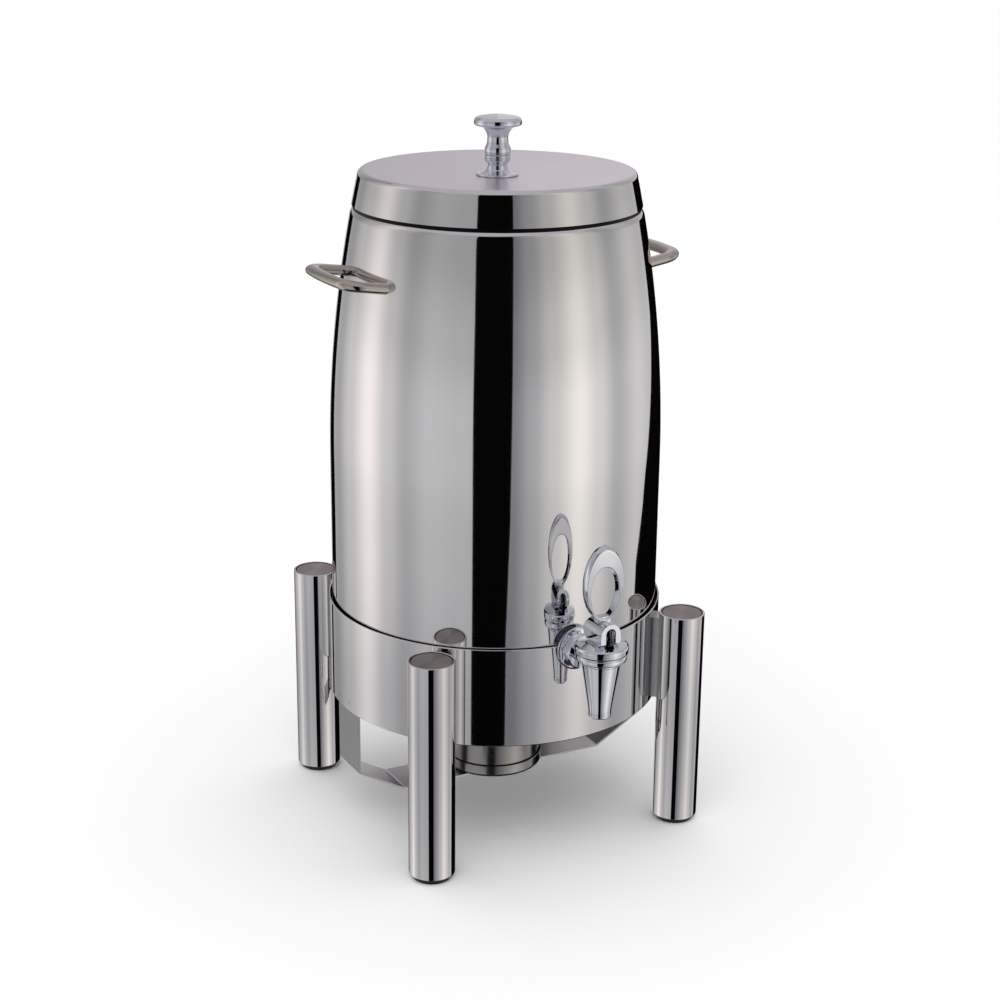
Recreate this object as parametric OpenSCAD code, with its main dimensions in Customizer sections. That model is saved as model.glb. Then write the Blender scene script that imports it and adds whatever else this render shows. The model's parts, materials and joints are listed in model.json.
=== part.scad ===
// Buffet coffee urn on a four-legged stand, heated from below by a fuel pot.
// Millimetres, +Z up. The origin is on the barrel's axis, at table level.
// The tap points to -Y and the two handles to -X and +X.

/* [Stand ring] */
// Outside diameter of the ring band
ring_d = 284; // [270:1:300]
// Height of the ring band
ring_h = 84; // [78:1:96]
// Height of the ring's lower edge above the table
ring_z = 107.5; // [104:0.5:125]
// Wall of the ring band and of the shelf
ring_wall = 1.5; // [1:0.1:2]
// Width of the rolled beads along the ring's two edges
ring_bead = 2.4; // [2.1:0.1:2.6]
// Depth of the shelf below the ring's top edge
shelf_drop = 40.5; // [38:0.5:44]
// Width of the shelf that carries the urn
shelf_w = 22; // [16:1:26]
// Height of the shelf's welded leg
shelf_leg_h = 13; // [8:1:15]

/* [Legs] */
// Outside diameter of a leg tube
leg_d = 38; // [34:0.5:44]
// Height of a leg above the table
leg_h = 189.5; // [184:0.5:200]
// Wall of a leg tube
leg_wall = 1.5; // [1:0.1:2]
// Gap between a leg and the ring
leg_gap = 4.5; // [3:0.5:7]
// Bevel at the lower edge of a leg
leg_bevel = 2.5; // [1:0.5:4]
// Thickness of the floor that closes a leg
leg_floor = 3; // [2:0.5:5]
// Width of the saddle block between a leg and the ring
spacer_w = 16; // [13:0.5:20]
// Distance from the saddle block's ends to the ring's edges
spacer_inset = 5; // [3:0.5:6]

/* [Leg caps and feet] */
// Thickness of the disc that closes a leg
cap_t = 5; // [3:0.5:8]
// Width of the groove round a leg cap
cap_groove = 0.8; // [0.4:0.1:1.5]
// Depth of the cap's face below the leg's edge
cap_drop = 0.4; // [0.2:0.1:1]
// Diameter of a rubber foot
foot_d = 31; // [26:0.5:33]
// Height of a rubber foot below the leg
foot_h = 3; // [2:0.5:5]
// Diameter of a foot's plug
foot_plug_d = 22; // [14:1:25]
// Length of a foot's plug
foot_plug_h = 9; // [6:0.5:14]

/* [Leg bolts] */
// Diameter of a leg bolt
bolt_d = 5; // [4:0.5:6]
// Diameter of a leg bolt's button head
bolt_head_d = 9; // [8:0.5:10]
// Height of a leg bolt's button head
bolt_head_h = 2.7; // [2:0.1:4]
// Height of the lower bolt above the ring's lower edge
bolt_low = 9.5; // [8:0.5:10]
// Distance between the two bolts of a leg
bolt_pitch = 14; // [11:0.5:14]
// Width across flats of a leg bolt's nut
bolt_nut_af = 8; // [7:0.5:10]
// Thickness of a leg bolt's nut
bolt_nut_h = 4; // [3:0.5:5]

/* [Burner strap] */
// Width of the strap
strap_w = 40; // [30:1:46]
// Thickness of the strap
strap_t = 2; // [1.5:0.1:3]
// Height of the strap's underside above the table
strap_z = 29; // [24:0.5:36]
// Height that the strap's sloping stretches climb
strap_rise = 24.5; // [16:0.5:30]
// Length of the strap's level stretch
strap_flat = 192; // [150:1:210]
// Height of the strap's tabs inside the ring
strap_lap = 16; // [14:0.5:20]
// Diameter of the rivets
rivet_d = 4; // [3:0.5:5]
// Diameter of the rivets' heads
rivet_head_d = 7.5; // [6:0.5:9]
// Height of the rivets' heads
rivet_head_h = 1.2; // [0.8:0.1:2]
// Distance between the two rivets of a tab
rivet_pitch = 20; // [14:1:22]
// Distance between the two rivets of the burner pan
pan_rivet_pitch = 36; // [24:1:50]

/* [Burner] */
// Outside diameter of the pan that locates the fuel pot
pan_d = 86; // [80:1:96]
// Height of the pan
pan_h = 10.5; // [8:0.5:14]
// Radius of the pan's lower edge
pan_round = 4; // [2:0.5:5]
// Wall of the pan
pan_wall = 1; // [0.8:0.1:1.5]
// Radial clearance of the fuel pot in its pan
pot_gap = 0.8; // [0.3:0.1:1.5]
// Height of the fuel pot
pot_h = 56; // [50:1:60]
// Radius of the fuel pot's lower edge
pot_round = 4; // [3.5:0.5:6]
// Wall of the fuel pot
pot_wall = 0.8; // [0.6:0.1:1.5]
// Reach of the fuel pot's side handle
pot_handle_reach = 10; // [8:0.5:14]
// Height of the fuel pot's side handle
pot_handle_h = 20; // [14:1:26]
// Width of the side handle's strip
pot_handle_w = 8; // [6:0.5:12]
// Thickness of the side handle's strip
pot_handle_t = 1.5; // [1:0.1:2]
// Direction of the side handle, in degrees from +X
pot_handle_turn = -12; // [-40:1:40]
// Thickness of the swivel lid
pot_lid_t = 1.2; // [0.8:0.1:2]
// Gap between the pot's edge and its lid
pot_lid_gap = 0.2; // [0.1:0.05:0.5]
// Distance of the lid's pivot from the pot's wall
pivot_out = 6; // [5.5:0.5:10]
// Diameter of the pivot pin
pivot_d = 4; // [3:0.5:5]
// Height of the lug that holds the pivot pin
lug_h = 12; // [8:0.5:20]
// Height of the tab that turns the lid
lid_tab_h = 10; // [6:0.5:16]

/* [Barrel] */
// Gap between the barrel and the ring
body_gap = 1.8; // [1:0.1:2.5]
// Height of the barrel from the shelf to its upper edge
body_h = 370; // [340:1:400]
// Height of the barrel's straight stretch
body_straight_h = 164; // [140:1:190]
// Radius of the barrel's bulge, which the lid's side continues
body_bulge_r = 1075; // [950:5:1300]
// Wall of the barrel
body_wall = 1; // [0.8:0.1:1.5]
// Width of the barrel's turned-in lower edge
body_foot_w = 19; // [14:1:22]

/* [Inner vessel] */
// Outside diameter of the inner vessel
vessel_d = 224; // [214:1:228]
// Wall of the inner vessel
vessel_wall = 1; // [0.8:0.1:1.5]
// Height of the vessel's floor above the barrel's lower edge
vessel_floor_h = 13; // [10:0.5:14]
// Radius where the vessel's wall meets its floor
vessel_round = 8; // [5:1:10]
// Thickness of the rim where vessel and barrel meet
rim_t = 1.4; // [1:0.1:2]

/* [Lid] */
// Depth of the lid's locating wall in the vessel
liner_depth = 14; // [8:1:20]
// Clearance between the locating wall and the vessel
liner_gap = 1.5; // [1:0.1:2]
// Thickness of the lid's sheet
lid_wall = 1; // [0.8:0.1:1.5]
// Gap between the lid's side and the rim
lid_gap = 2; // [1.5:0.1:3]
// Height of the lid's side
lid_h = 27.5; // [24:0.5:34]
// Rounding of the lid's upper edge
lid_edge_r = 5; // [3:0.5:7]
// Depth of the hollow in the lid's top
lid_dish = 5; // [3:0.5:7]

/* [Lid knob] */
// Diameter of the knob's head
knob_d = 38.6; // [34:0.2:44]
// Height of the knob above the lid
knob_h = 48; // [46:0.5:54]
// Diameter of the knob's foot
knob_foot_d = 35; // [30:0.2:40]
// Diameter of the knob's band
knob_band_d = 20.8; // [18:0.2:24]
// Diameter of the knob's neck
knob_neck_d = 16.6; // [14:0.2:18]
// Height of the split line above the lid
knob_split_h = 16.5; // [14:0.5:18]
// Diameter of the screw that holds the knob
knob_screw_d = 6; // [5:0.5:8]

/* [Handles] */
// Height of the handles' arms where they meet the barrel
handle_z = 472; // [430:0.5:490]
// Distance of the grip's outer face from the barrel's axis
handle_reach = 158; // [152:0.5:170]
// Width between the middles of the arms, at the grip
handle_w = 80.5; // [70:0.5:92]
// Splay of each arm from the grip to the barrel
handle_splay = 0.5; // [0:0.5:8]
// Bow of the grip
handle_bow = 4; // [2:0.5:8]
// Radius of the bends between grip and arms
handle_bend = 14.5; // [10:0.5:18]
// Height of the bar's section
handle_bar_h = 8.6; // [8:0.1:12]
// Width of the bar's section
handle_bar_w = 11.5; // [9:0.5:13]
// Diameter of the handle screws
handle_screw_d = 4; // [3:0.5:5]

/* [Tap fixing] */
// Height of the tap's inlet above the table
tap_z = 188; // [187:0.5:196]
// Outside diameter of the tap's shank
shank_d = 13.2; // [12:0.2:14]
// Bore of the tap's shank
shank_bore = 8.4; // [6:0.2:9.4]
// Diameter of the silicone washers
washer_d = 28; // [24:0.5:28]
// Gap between the washer and the ring's notch
notch_gap = 1.2; // [0.6:0.1:1.6]
// Diameter of the cover plate on the notch
plate_d = 36; // [35:0.5:42]
// Thickness of the cover plate at its edge
plate_t = 1.6; // [1:0.1:3]
// Rise of the cover plate towards the shank
plate_rise = 1.6; // [1:0.1:2]
// Gap between the cover plate and the ring
plate_gap = 0.4; // [0.3:0.1:1]
// Width across flats of the hexagonal collar
collar_af = 26; // [22:0.5:30]
// Thickness of the hexagonal collar
collar_t = 8; // [6:0.5:9]
// Distance of the valve's axis from the collar
valve_reach = 27.4; // [23:0.2:36]
// Width across flats of the nut inside the vessel
lock_nut_af = 24; // [22:0.5:28]
// Thickness of the nut inside the vessel
lock_nut_t = 5; // [4:0.5:8]

/* [Tap body] */
// Height of the spout's mouth above the table
spout_z = 144; // [138:0.5:150]
// Outside diameter of the spout's mouth
spout_d = 18.8; // [17:0.2:20]
// Bore of the spout
spout_bore = 13.6; // [11:0.2:14]
// Height of the body's shoulder above the spout's mouth
shoulder_h = 46; // [44:0.5:50]
// Diameter of the body's shoulder
shoulder_d = 33.2; // [32:0.2:36]
// Diameter of the valve chamber
chamber_d = 23; // [20:0.5:24]
// Diameter of the body's inlet neck
inlet_d = 16.4; // [16:0.2:19]
// Bore from the inlet neck into the valve chamber
passage_d = 7; // [5:0.5:8]
// Gap between the inlet neck and the bonnet above it
neck_gap = 0.6; // [0.4:0.1:1]

/* [Tap bonnet] */
// Diameter of the bonnet's upper ring
bonnet_d = 43; // [41:0.5:46]
// Diameter of the bonnet's lower ring
bonnet_low_d = 40.6; // [38:0.2:42]
// Height of the bonnet above the shoulder
bonnet_h = 18.2; // [17:0.1:19]
// Thickness of the bonnet's roof
bonnet_roof = 4; // [3:0.5:5]
// Width of the bonnet's threaded neck inside
bonnet_bore = 30; // [28:0.5:31]

/* [Tap stem] */
// Diameter of the stem
stem_d = 6; // [5:0.2:6.4]
// Diameter of the stem's head in the lever's slot
stem_head_d = 8; // [7:0.2:8]
// Diameter of the silicone seat plug
plug_d = 17; // [15:0.2:18]
// Height of the silicone seat plug
plug_h = 10; // [8:0.5:11]
// Mean diameter of the closing spring
spring_d = 11; // [9.5:0.2:13]
// Wire of the closing spring
spring_wire = 1; // [0.8:0.1:1.2]
// Turns of the closing spring
spring_turns = 6; // [4:1:7]

/* [Tap lever] */
// Lift of the stem for each radian of the lever
cam_lift = 8; // [6:0.5:9]
// Height of the lever's pin above the bonnet
pin_h = 7.6; // [7:0.1:8.5]
// Furthest forward tilt of the lever, in degrees
lever_tilt = 35; // [25:1:35]
// Diameter of the lever's pin
pin_d = 3; // [2:0.5:3.5]
// Width of the lever's yoke
yoke_w = 17.6; // [17:0.2:20]
// Height of the yoke's arch above the pin
yoke_top_h = 10.2; // [9:0.2:12]
// Length of the yoke behind the pin
yoke_back = 14; // [12:0.5:16]
// Width of the yoke's slot
slot_w = 8.8; // [8.8:0.1:9.4]
// Width of the ring handle
loop_w = 34; // [28:0.5:40]
// Height of the ring handle
loop_h = 61.5; // [52:0.5:70]
// Width of the ring handle's hole
loop_hole_w = 25; // [20:0.5:26]
// Height of the ring handle's hole
loop_hole_h = 42; // [34:0.5:46]
// Thickness of the ring handle at its ridge
loop_t = 8.6; // [6:0.2:10]
// Thickness of the ring handle at its edges
loop_edge_t = 3; // [2:0.2:4]

/* [Clearances] */
// Gap between pieces that are fixed together
seat_gap = 0.05; // [0.02:0.01:0.1]
// Radial running clearance of pins and the stem
run_gap = 0.05; // [0.02:0.01:0.08]
// Gap between the lever's cam and the bonnet
cam_gap = 0.15; // [0.1:0.05:0.3]
// Gap between the seat plug and its seat
plug_gap = 0.15; // [0.1:0.05:0.3]

/* [Hidden] */
LEGS = [1, 2, 3, 4];

// Facets of round solids that carry over as true curves, and of thin pieces on a wide curve
$fn = 96;
fine = 360;
// Overrun of cutting solids
cut = 1;

// Stand
ring_r = ring_d / 2;
ring_in_r = ring_r - ring_wall;
ring_top = ring_z + ring_h;
shelf_top = ring_top - shelf_drop;
leg_r = leg_d / 2;
leg_bore_r = leg_r - leg_wall;
leg_ring_r = ring_r + leg_gap + leg_r;
leg_turn = 360 / len(LEGS);
leg_first_turn = leg_turn / 2;
foot_plug_r = foot_plug_d / 2;
strap_x = sqrt(pow(ring_r - ring_bead, 2) - pow(strap_w / 2, 2)) - seat_gap;
strap_top = strap_z + strap_t;
strap_bend = strap_t * tan(atan2(strap_rise, strap_x - strap_flat / 2) / 2);

// Burner
pot_r = pan_d / 2 - pan_wall - pot_gap;
pot_z = strap_top + pan_wall;
pot_top = pot_z + pot_h;
pivot_r = pot_r + pivot_out;
pivot_lug_r = pivot_out - pot_wall;
lid_z = pot_top + pot_lid_gap;

// Barrel
body_r = ring_in_r - body_gap;
body_z = shelf_top;
body_top = body_z + body_h;
bulge_z = body_z + body_straight_h;
bulge_steps = 26;
function bulge_in(z) = z <= bulge_z ? 0 :
    body_bulge_r - sqrt(body_bulge_r * body_bulge_r - (z - bulge_z) * (z - bulge_z));
function barrel_r(z) = body_r - bulge_in(z);
function barrel_curve(z0, z1, steps, inset) =
    [for (i = [0 : steps]) let (z = z0 + (z1 - z0) * i / steps) [barrel_r(z) - inset, z]];

// Vessel and lid
vessel_r = vessel_d / 2;
vessel_in_r = vessel_r - vessel_wall;
vessel_z = body_z + vessel_floor_h;
rim_top = body_top + rim_t;
rim_r = barrel_r(body_top) + body_wall / 2;
liner_r = vessel_in_r - liner_gap;
liner_weld_h = 5;
lid_z0 = rim_top + lid_gap;
lid_top = lid_z0 + lid_h;
lid_slope = asin((lid_top - bulge_z) / body_bulge_r);
lid_edge_z = lid_top - lid_edge_r;
lid_flat_r = barrel_r(lid_edge_z) - lid_edge_r;
knob_z = lid_top - lid_dish;
knob_under = knob_z - lid_wall - seat_gap;

// Knob
knob_r = knob_d / 2;
knob_band_r = knob_band_d / 2;
knob_neck_r = knob_neck_d / 2;
knob_foot_r = knob_foot_d / 2;
knob_foot_t = 1.8;
knob_waist_r = 8;
knob_waist_z = 7.4;
knob_cone_z = 9;
knob_band_low_z = 11.8;
knob_band_top_z = 22;
knob_neck_z = 26;
knob_flare_z = 32;
knob_groove = 0.5;
// Outline of the knob's cap, as shares of its radius and of its height above the neck
knob_cap_shares = [[0.53, 0.25], [0.65, 0.38], [0.8, 0.55], [0.92, 0.63], [0.99, 0.72], [1, 0.78],
    [0.98, 0.86], [0.9, 0.92], [0.8, 0.96], [0.45, 0.99], [0, 1]];
knob_screw_r = knob_screw_d / 2;
knob_screw_grip = 12;
knob_screw_head_r = 5;
knob_screw_head_h = 3;
knob_washer_r = 9;
knob_washer_t = 1.5;

// Handles: lengths along X are measured from the barrel's wall, square to it
bar_sides = 16;
handle_tilt = asin((handle_z - bulge_z) / body_bulge_r);
handle_r = handle_bar_w / 2;
handle_arm_y = handle_w / 2 + handle_splay;
handle_wall_x = sqrt(pow(barrel_r(handle_z), 2) - pow(handle_arm_y, 2));
handle_mid_x = (handle_reach - handle_wall_x) / cos(handle_tilt) - handle_r;
handle_root_x = -handle_bar_w;
handle_screw_len = 12;
handle_screw_head_d = 8;
handle_screw_head_h = 3;
backer_w = 16;
backer_t = 4;
backer_x = sqrt(pow(barrel_r(handle_z) - body_wall, 2) - pow(handle_arm_y + backer_w / 2, 2))
    - backer_t - handle_wall_x;

// Tap
shank_r = shank_d / 2;
washer_r = washer_d / 2;
notch_r = washer_r + notch_gap;
plate_r = plate_d / 2;
plate_y = ring_r + plate_gap;
collar_y = plate_y + plate_t + plate_rise;
neck_y = collar_y + collar_t;
tap_reach = neck_y + valve_reach;
shank_end_y = tap_reach - bonnet_low_d / 2 - neck_gap;
shank_nose = 13;
shank_in_y = vessel_in_r - shank_nose;
inlet_r = inlet_d / 2;
sleeve_r = 12;
inner_washer_t = 3;
lock_nut_y = vessel_in_r - inner_washer_t - lock_nut_t;
hex_share = 1 / cos(30);

// Tap body, heights measured from the spout's mouth
mouth_r = spout_d / 2;
mouth_round = 2.5;
throat_h = 13;
flare_h = 18;
flare_r = 11.9;
shoulder_r = shoulder_d / 2;
shoulder_z = spout_z + shoulder_h;
neck_r = bonnet_bore / 2 - seat_gap;
neck_h = 9;
chamber_r = chamber_d / 2;
outlet_r = spout_bore / 2;
seat_h = 27.5;
seat_z = spout_z + seat_h;
seat_rise = chamber_r - outlet_r;
passage_r = passage_d / 2;
passage_z = shoulder_z - passage_r - (neck_r - chamber_r) / 2;

// Bonnet, heights measured from the shoulder
bonnet_top = shoulder_z + bonnet_h;
bonnet_r = bonnet_d / 2;
bonnet_low_r = bonnet_low_d / 2;
bonnet_edge = 1.2;
bonnet_low_z = 1.6;
bonnet_ring_h = 4;
bonnet_groove = 1.6;
bonnet_groove_h = 1.4;
bonnet_dome_r = 17;
stem_r = stem_d / 2;

// Stem and spring
pin_z = bonnet_top + pin_h + cam_gap;
stem_head_h = 3.4;
stem_head_low = 6;
plug_r = plug_d / 2;
plug_bevel = 2.5;
plug_z = seat_z + plug_gap + (plug_r - outlet_r) - plug_bevel;
stem_collar_r = 6.5;
stem_collar_t = 1.5;
stem_foot = 7;
spring_z0 = plug_z + plug_h + stem_collar_t + seat_gap;
spring_z1 = bonnet_top - bonnet_roof - seat_gap;

// Lever
lever_y = -tap_reach;
pin_r = pin_d / 2;
yoke_r = yoke_w / 2;
slot_r = slot_w / 2;
slot_top_h = 6.8;
yoke_round = 8;
loop_neck_w = 11;
loop_neck_t = 6.4;
loop_base = 2.4;
loop_steps = 48;
loop_ridge_share = 0.6;
loop_sink = 0.4;
loop_z0 = pin_z + yoke_top_h - loop_sink;

// Places a leg piece at leg number i
module at_leg(i) {
    rotate(leg_first_turn + leg_turn * (i - 1)) children();
}

// Tube along a route: each ring is a list of points, all with the same count
module skin(rings, closed = false) {
    n = len(rings);
    s = len(rings[0]);
    last = closed ? n - 1 : n - 2;
    sides = [for (i = [0 : last], j = [0 : s - 1], t = [0, 1])
        let (a = i * s + j, b = i * s + (j + 1) % s,
             c = ((i + 1) % n) * s + j, d = ((i + 1) % n) * s + (j + 1) % s)
        t == 0 ? [a, c, b] : [b, c, d]];
    ends = closed ? [] : concat(
        [for (j = [1 : s - 2]) [0, j, j + 1]],
        [for (j = [1 : s - 2]) [(n - 1) * s, (n - 1) * s + j + 1, (n - 1) * s + j]]);
    polyhedron([for (r = rings) each r], concat(sides, ends));
}

// Arc of points about (cx, cy)
function arc(cx, cy, r, a0, a1, steps) =
    [for (i = [0 : steps]) let (a = a0 + (a1 - a0) * i / steps) [cx + r * cos(a), cy + r * sin(a)]];

// Lies along -Y at the tap's height, from distance y0 to y1 off the axis
module tap_rod(r, y0, y1, sides = $fn) {
    translate([0, -y1, tap_z]) rotate([-90, 0, 0]) cylinder(r = r, h = y1 - y0, $fn = sides);
}

// Ring band with a notch that lets the tap's shank lift out
module base_ring() {
    bead = ring_bead / 2;
    x = ring_r - bead;
    wall_z = sqrt(bead * bead - pow(bead - ring_wall, 2));
    low = ring_z + bead;
    high = ring_top - bead;
    color("silver") difference() {
        rotate_extrude() polygon(concat(
            arc(x, low, bead, -180, 0, 8), arc(x, high, bead, 0, 180, 8),
            [[ring_in_r, high - wall_z], [ring_in_r, low + wall_z]]));
        tap_rod(notch_r, ring_in_r - ring_wall - notch_r, ring_r + cut);
        translate([-notch_r, -ring_r - cut, tap_z])
            cube([notch_r * 2, ring_wall + notch_r + cut, ring_top - tap_z + cut]);
        for (i = LEGS) at_leg(i) leg_bolt_holes();
        for (s = [-1, 1]) strap_rivet_holes(s);
    }
}

// Shelf welded inside the ring, on which the barrel stands
module urn_shelf() {
    r = ring_in_r - seat_gap;
    color("silver") rotate_extrude() polygon([
        [r, shelf_top - shelf_leg_h], [r, shelf_top], [r - shelf_w, shelf_top],
        [r - shelf_w, shelf_top - ring_wall], [r - ring_wall, shelf_top - ring_wall],
        [r - ring_wall, shelf_top - shelf_leg_h]]);
}

// Leg tube, closed below by a floor with a hole for the foot
module leg() {
    z = foot_h;
    plug_hole = foot_plug_r + seat_gap;
    color("silver") difference() {
        translate([leg_ring_r, 0]) rotate_extrude() polygon([
            [plug_hole, z], [leg_r - leg_bevel, z], [leg_r, z + leg_bevel], [leg_r, leg_h],
            [leg_bore_r, leg_h], [leg_bore_r, z + leg_floor], [plug_hole, z + leg_floor]]);
        leg_bolt_holes();
    }
}

// Brushed disc let into a leg's upper end
module leg_cap() {
    top = leg_h - cap_drop;
    plug = leg_bore_r - seat_gap;
    face = leg_bore_r - cap_groove;
    color("gainsboro") translate([leg_ring_r, 0]) rotate_extrude() polygon([
        [0, top - cap_t], [plug, top - cap_t], [plug, top - cap_t / 2],
        [face, top - cap_t / 2], [face, top], [0, top]]);
}

// Rubber foot with a plug that snaps into the leg's floor
module leg_foot() {
    color("black") translate([leg_ring_r, 0]) {
        cylinder(d = foot_d, h = foot_h);
        cylinder(r = foot_plug_r, h = foot_h + foot_plug_h);
    }
}

// Saddle block between a leg and the ring
module leg_spacer() {
    z = ring_z + spacer_inset;
    h = min(ring_top, leg_h) - spacer_inset - z;
    color("silver") difference() {
        translate([ring_r - ring_wall, -spacer_w / 2, z])
            cube([leg_gap + ring_wall + leg_r / 2, spacer_w, h]);
        translate([0, 0, z - cut]) cylinder(r = ring_r + seat_gap, h = h + cut * 2, $fn = fine);
        translate([leg_ring_r, 0, z - cut]) cylinder(r = leg_r + seat_gap, h = h + cut * 2);
        leg_bolt_holes();
    }
}

// Bolt places of a leg, at angle zero
module leg_bolt_places() {
    for (k = [0, 1]) translate([0, 0, ring_z + bolt_low + bolt_pitch * k]) children();
}

// Radial rod between two distances from the axis
module radial_rod(r, x0, x1, sides = $fn) {
    translate([x0, 0]) rotate([0, 90, 0]) cylinder(r = r, h = x1 - x0, $fn = sides);
}

bolt_r = bolt_d / 2;
bolt_seat_x = sqrt(ring_in_r * ring_in_r - pow(bolt_head_d / 2, 2)) - seat_gap;
bolt_wall_x = leg_ring_r - leg_bore_r;
nut_circle = bolt_nut_af / 2 * hex_share;
bolt_nut_x = leg_ring_r - sqrt(leg_bore_r * leg_bore_r - nut_circle * nut_circle) + seat_gap;

module leg_bolt_holes() {
    leg_bolt_places() radial_rod(bolt_r + seat_gap, ring_in_r - ring_wall, bolt_wall_x + cut);
}

// Button-headed bolts through ring, saddle block and leg
module leg_bolts() {
    color("silver") for (i = LEGS) at_leg(i) leg_bolt_places() {
        radial_rod(bolt_r, bolt_seat_x, bolt_nut_x + bolt_nut_h + cut);
        radial_rod(bolt_head_d / 2, bolt_seat_x - bolt_head_h, bolt_seat_x);
    }
}

// Nuts inside the legs
module leg_nuts() {
    color("silver") for (i = LEGS) at_leg(i) leg_bolt_places() difference() {
        radial_rod(nut_circle, bolt_nut_x, bolt_nut_x + bolt_nut_h, 6);
        radial_rod(bolt_r + seat_gap, bolt_nut_x - cut, bolt_nut_x + bolt_nut_h + cut);
    }
}

// Flat strap bent to hang under the ring, outline seen from the front
module burner_strap() {
    half = strap_flat / 2;
    top = ring_z + strap_lap;
    bend_z = strap_z + strap_rise;
    outer = [[strap_x, top], [strap_x, bend_z], [half, strap_z]];
    inner = [[half - strap_bend, strap_top], [strap_x - strap_t, bend_z + strap_bend], [strap_x - strap_t, top]];
    right = concat(outer, [[0, strap_z], [0, strap_top]], inner);
    color("silver") difference() {
        for (s = [-1, 1]) rotate([90, 0, 0]) linear_extrude(strap_w, center = true)
            polygon([for (p = right) [p[0] * s, p[1]]]);
        for (s = [-1, 1]) strap_rivet_holes(s);
        pan_rivet_holes();
    }
}

rivet_z = ring_z + strap_lap / 2;

// Places of a tab's rivets, s tells left from right
module strap_rivet_places(s) {
    for (k = [-1, 1]) translate([0, k * rivet_pitch / 2, rivet_z])
        mirror([s < 0 ? 1 : 0, 0, 0]) children();
}

module strap_rivet_holes(s) {
    strap_rivet_places(s) radial_rod(rivet_d / 2 + seat_gap, strap_x - strap_t - cut, ring_r + cut);
}

// Rivets between tab and ring, dressed flush with the ring's outer face
module strap_rivets() {
    color("silver") intersection() {
        for (s = [-1, 1]) strap_rivet_places(s) {
            radial_rod(rivet_d / 2, strap_x - strap_t - rivet_head_h, ring_r);
            radial_rod(rivet_head_d / 2, strap_x - strap_t - rivet_head_h, strap_x - strap_t);
        }
        translate([0, 0, ring_z]) cylinder(r = ring_r, h = ring_h);
    }
}

// Pan that keeps the fuel pot in the middle of the strap
module burner_pan() {
    x = pan_d / 2 - pan_round;
    z = strap_top + pan_round;
    color("silver") difference() {
        rotate_extrude() polygon(concat([[0, strap_top]],
            arc(x, z, pan_round, -90, 0, 6), [[pan_d / 2, strap_top + pan_h], [pan_d / 2 - pan_wall, strap_top + pan_h]],
            arc(x, z, pan_round - pan_wall, 0, -90, 6), [[0, pot_z]]));
        pan_rivet_holes();
    }
}

module pan_rivet_places() {
    for (k = [-1, 1]) translate([k * pan_rivet_pitch / 2, 0]) children();
}

module pan_rivet_holes() {
    pan_rivet_places() translate([0, 0, strap_z - cut])
        cylinder(d = rivet_d + seat_gap * 2, h = strap_t + pan_wall + cut * 2);
}

// Rivets that hold the pan, flush with its floor
module pan_rivets() {
    color("silver") pan_rivet_places() {
        translate([0, 0, strap_z - rivet_head_h]) cylinder(d = rivet_d, h = pot_z - strap_z + rivet_head_h);
        translate([0, 0, strap_z - rivet_head_h]) cylinder(d = rivet_head_d, h = rivet_head_h);
    }
}

// Fuel pot with the lug that holds its lid's pivot
module fuel_pot() {
    color("silver") difference() {
        union() {
            rotate_extrude() polygon(concat([[0, pot_z]],
                arc(pot_r - pot_round, pot_z + pot_round, pot_round, -90, 0, 6),
                [[pot_r, pot_top], [0, pot_top]]));
            translate([-pivot_lug_r, 0, pot_top - lug_h]) cube([pivot_lug_r * 2, pivot_r, lug_h]);
            translate([0, pivot_r, pot_top - lug_h]) cylinder(r = pivot_lug_r, h = lug_h);
        }
        rotate_extrude() polygon(concat([[0, pot_z + pot_wall]],
            arc(pot_r - pot_round, pot_z + pot_round, pot_round - pot_wall, -90, 0, 6),
            [[pot_r - pot_wall, pot_top + cut], [0, pot_top + cut]]));
        translate([0, pivot_r, pot_top - lug_h - cut])
            cylinder(d = pivot_d + seat_gap * 2, h = lug_h + cut * 2);
    }
}

// Bent strip by which the pot is lifted out
module fuel_pot_handle() {
    x0 = pot_r + seat_gap;
    x1 = pot_r + pot_handle_reach;
    z0 = pot_z + pan_h;
    z1 = z0 + pot_handle_h;
    flap = pot_handle_t * 3;
    bar = [[x0, z0], [x0 + pot_handle_t, z0], [x0 + pot_handle_t, z0 + flap], [x1, z0 + flap],
        [x1, z1 - flap], [x0 + pot_handle_t, z1 - flap], [x0 + pot_handle_t, z1], [x0, z1],
        [x0, z1 - flap - pot_handle_t], [x1 - pot_handle_t, z1 - flap - pot_handle_t],
        [x1 - pot_handle_t, z0 + flap + pot_handle_t], [x0, z0 + flap + pot_handle_t]];
    color("silver") difference() {
        rotate(pot_handle_turn) rotate([90, 0, 0]) linear_extrude(pot_handle_w, center = true) polygon(bar);
        translate([0, 0, pot_z]) cylinder(r = pot_r + seat_gap, h = pot_h);
    }
}

// Swivel lid that covers the flame
module fuel_pot_lid() {
    tab = pot_lid_t;
    color("silver") difference() {
        union() {
            translate([0, 0, lid_z]) cylinder(r = pot_r + pot_wall, h = pot_lid_t);
            translate([-pivot_lug_r, 0, lid_z]) cube([pivot_lug_r * 2, pivot_r, pot_lid_t]);
            translate([0, pivot_r, lid_z]) cylinder(r = pivot_lug_r, h = pot_lid_t);
            translate([-pot_handle_w / 2, -pot_r, lid_z]) cube([pot_handle_w, tab, lid_tab_h]);
        }
        translate([0, pivot_r, lid_z - cut]) cylinder(d = pivot_d + run_gap * 2, h = pot_lid_t + cut * 2);
    }
}

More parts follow.
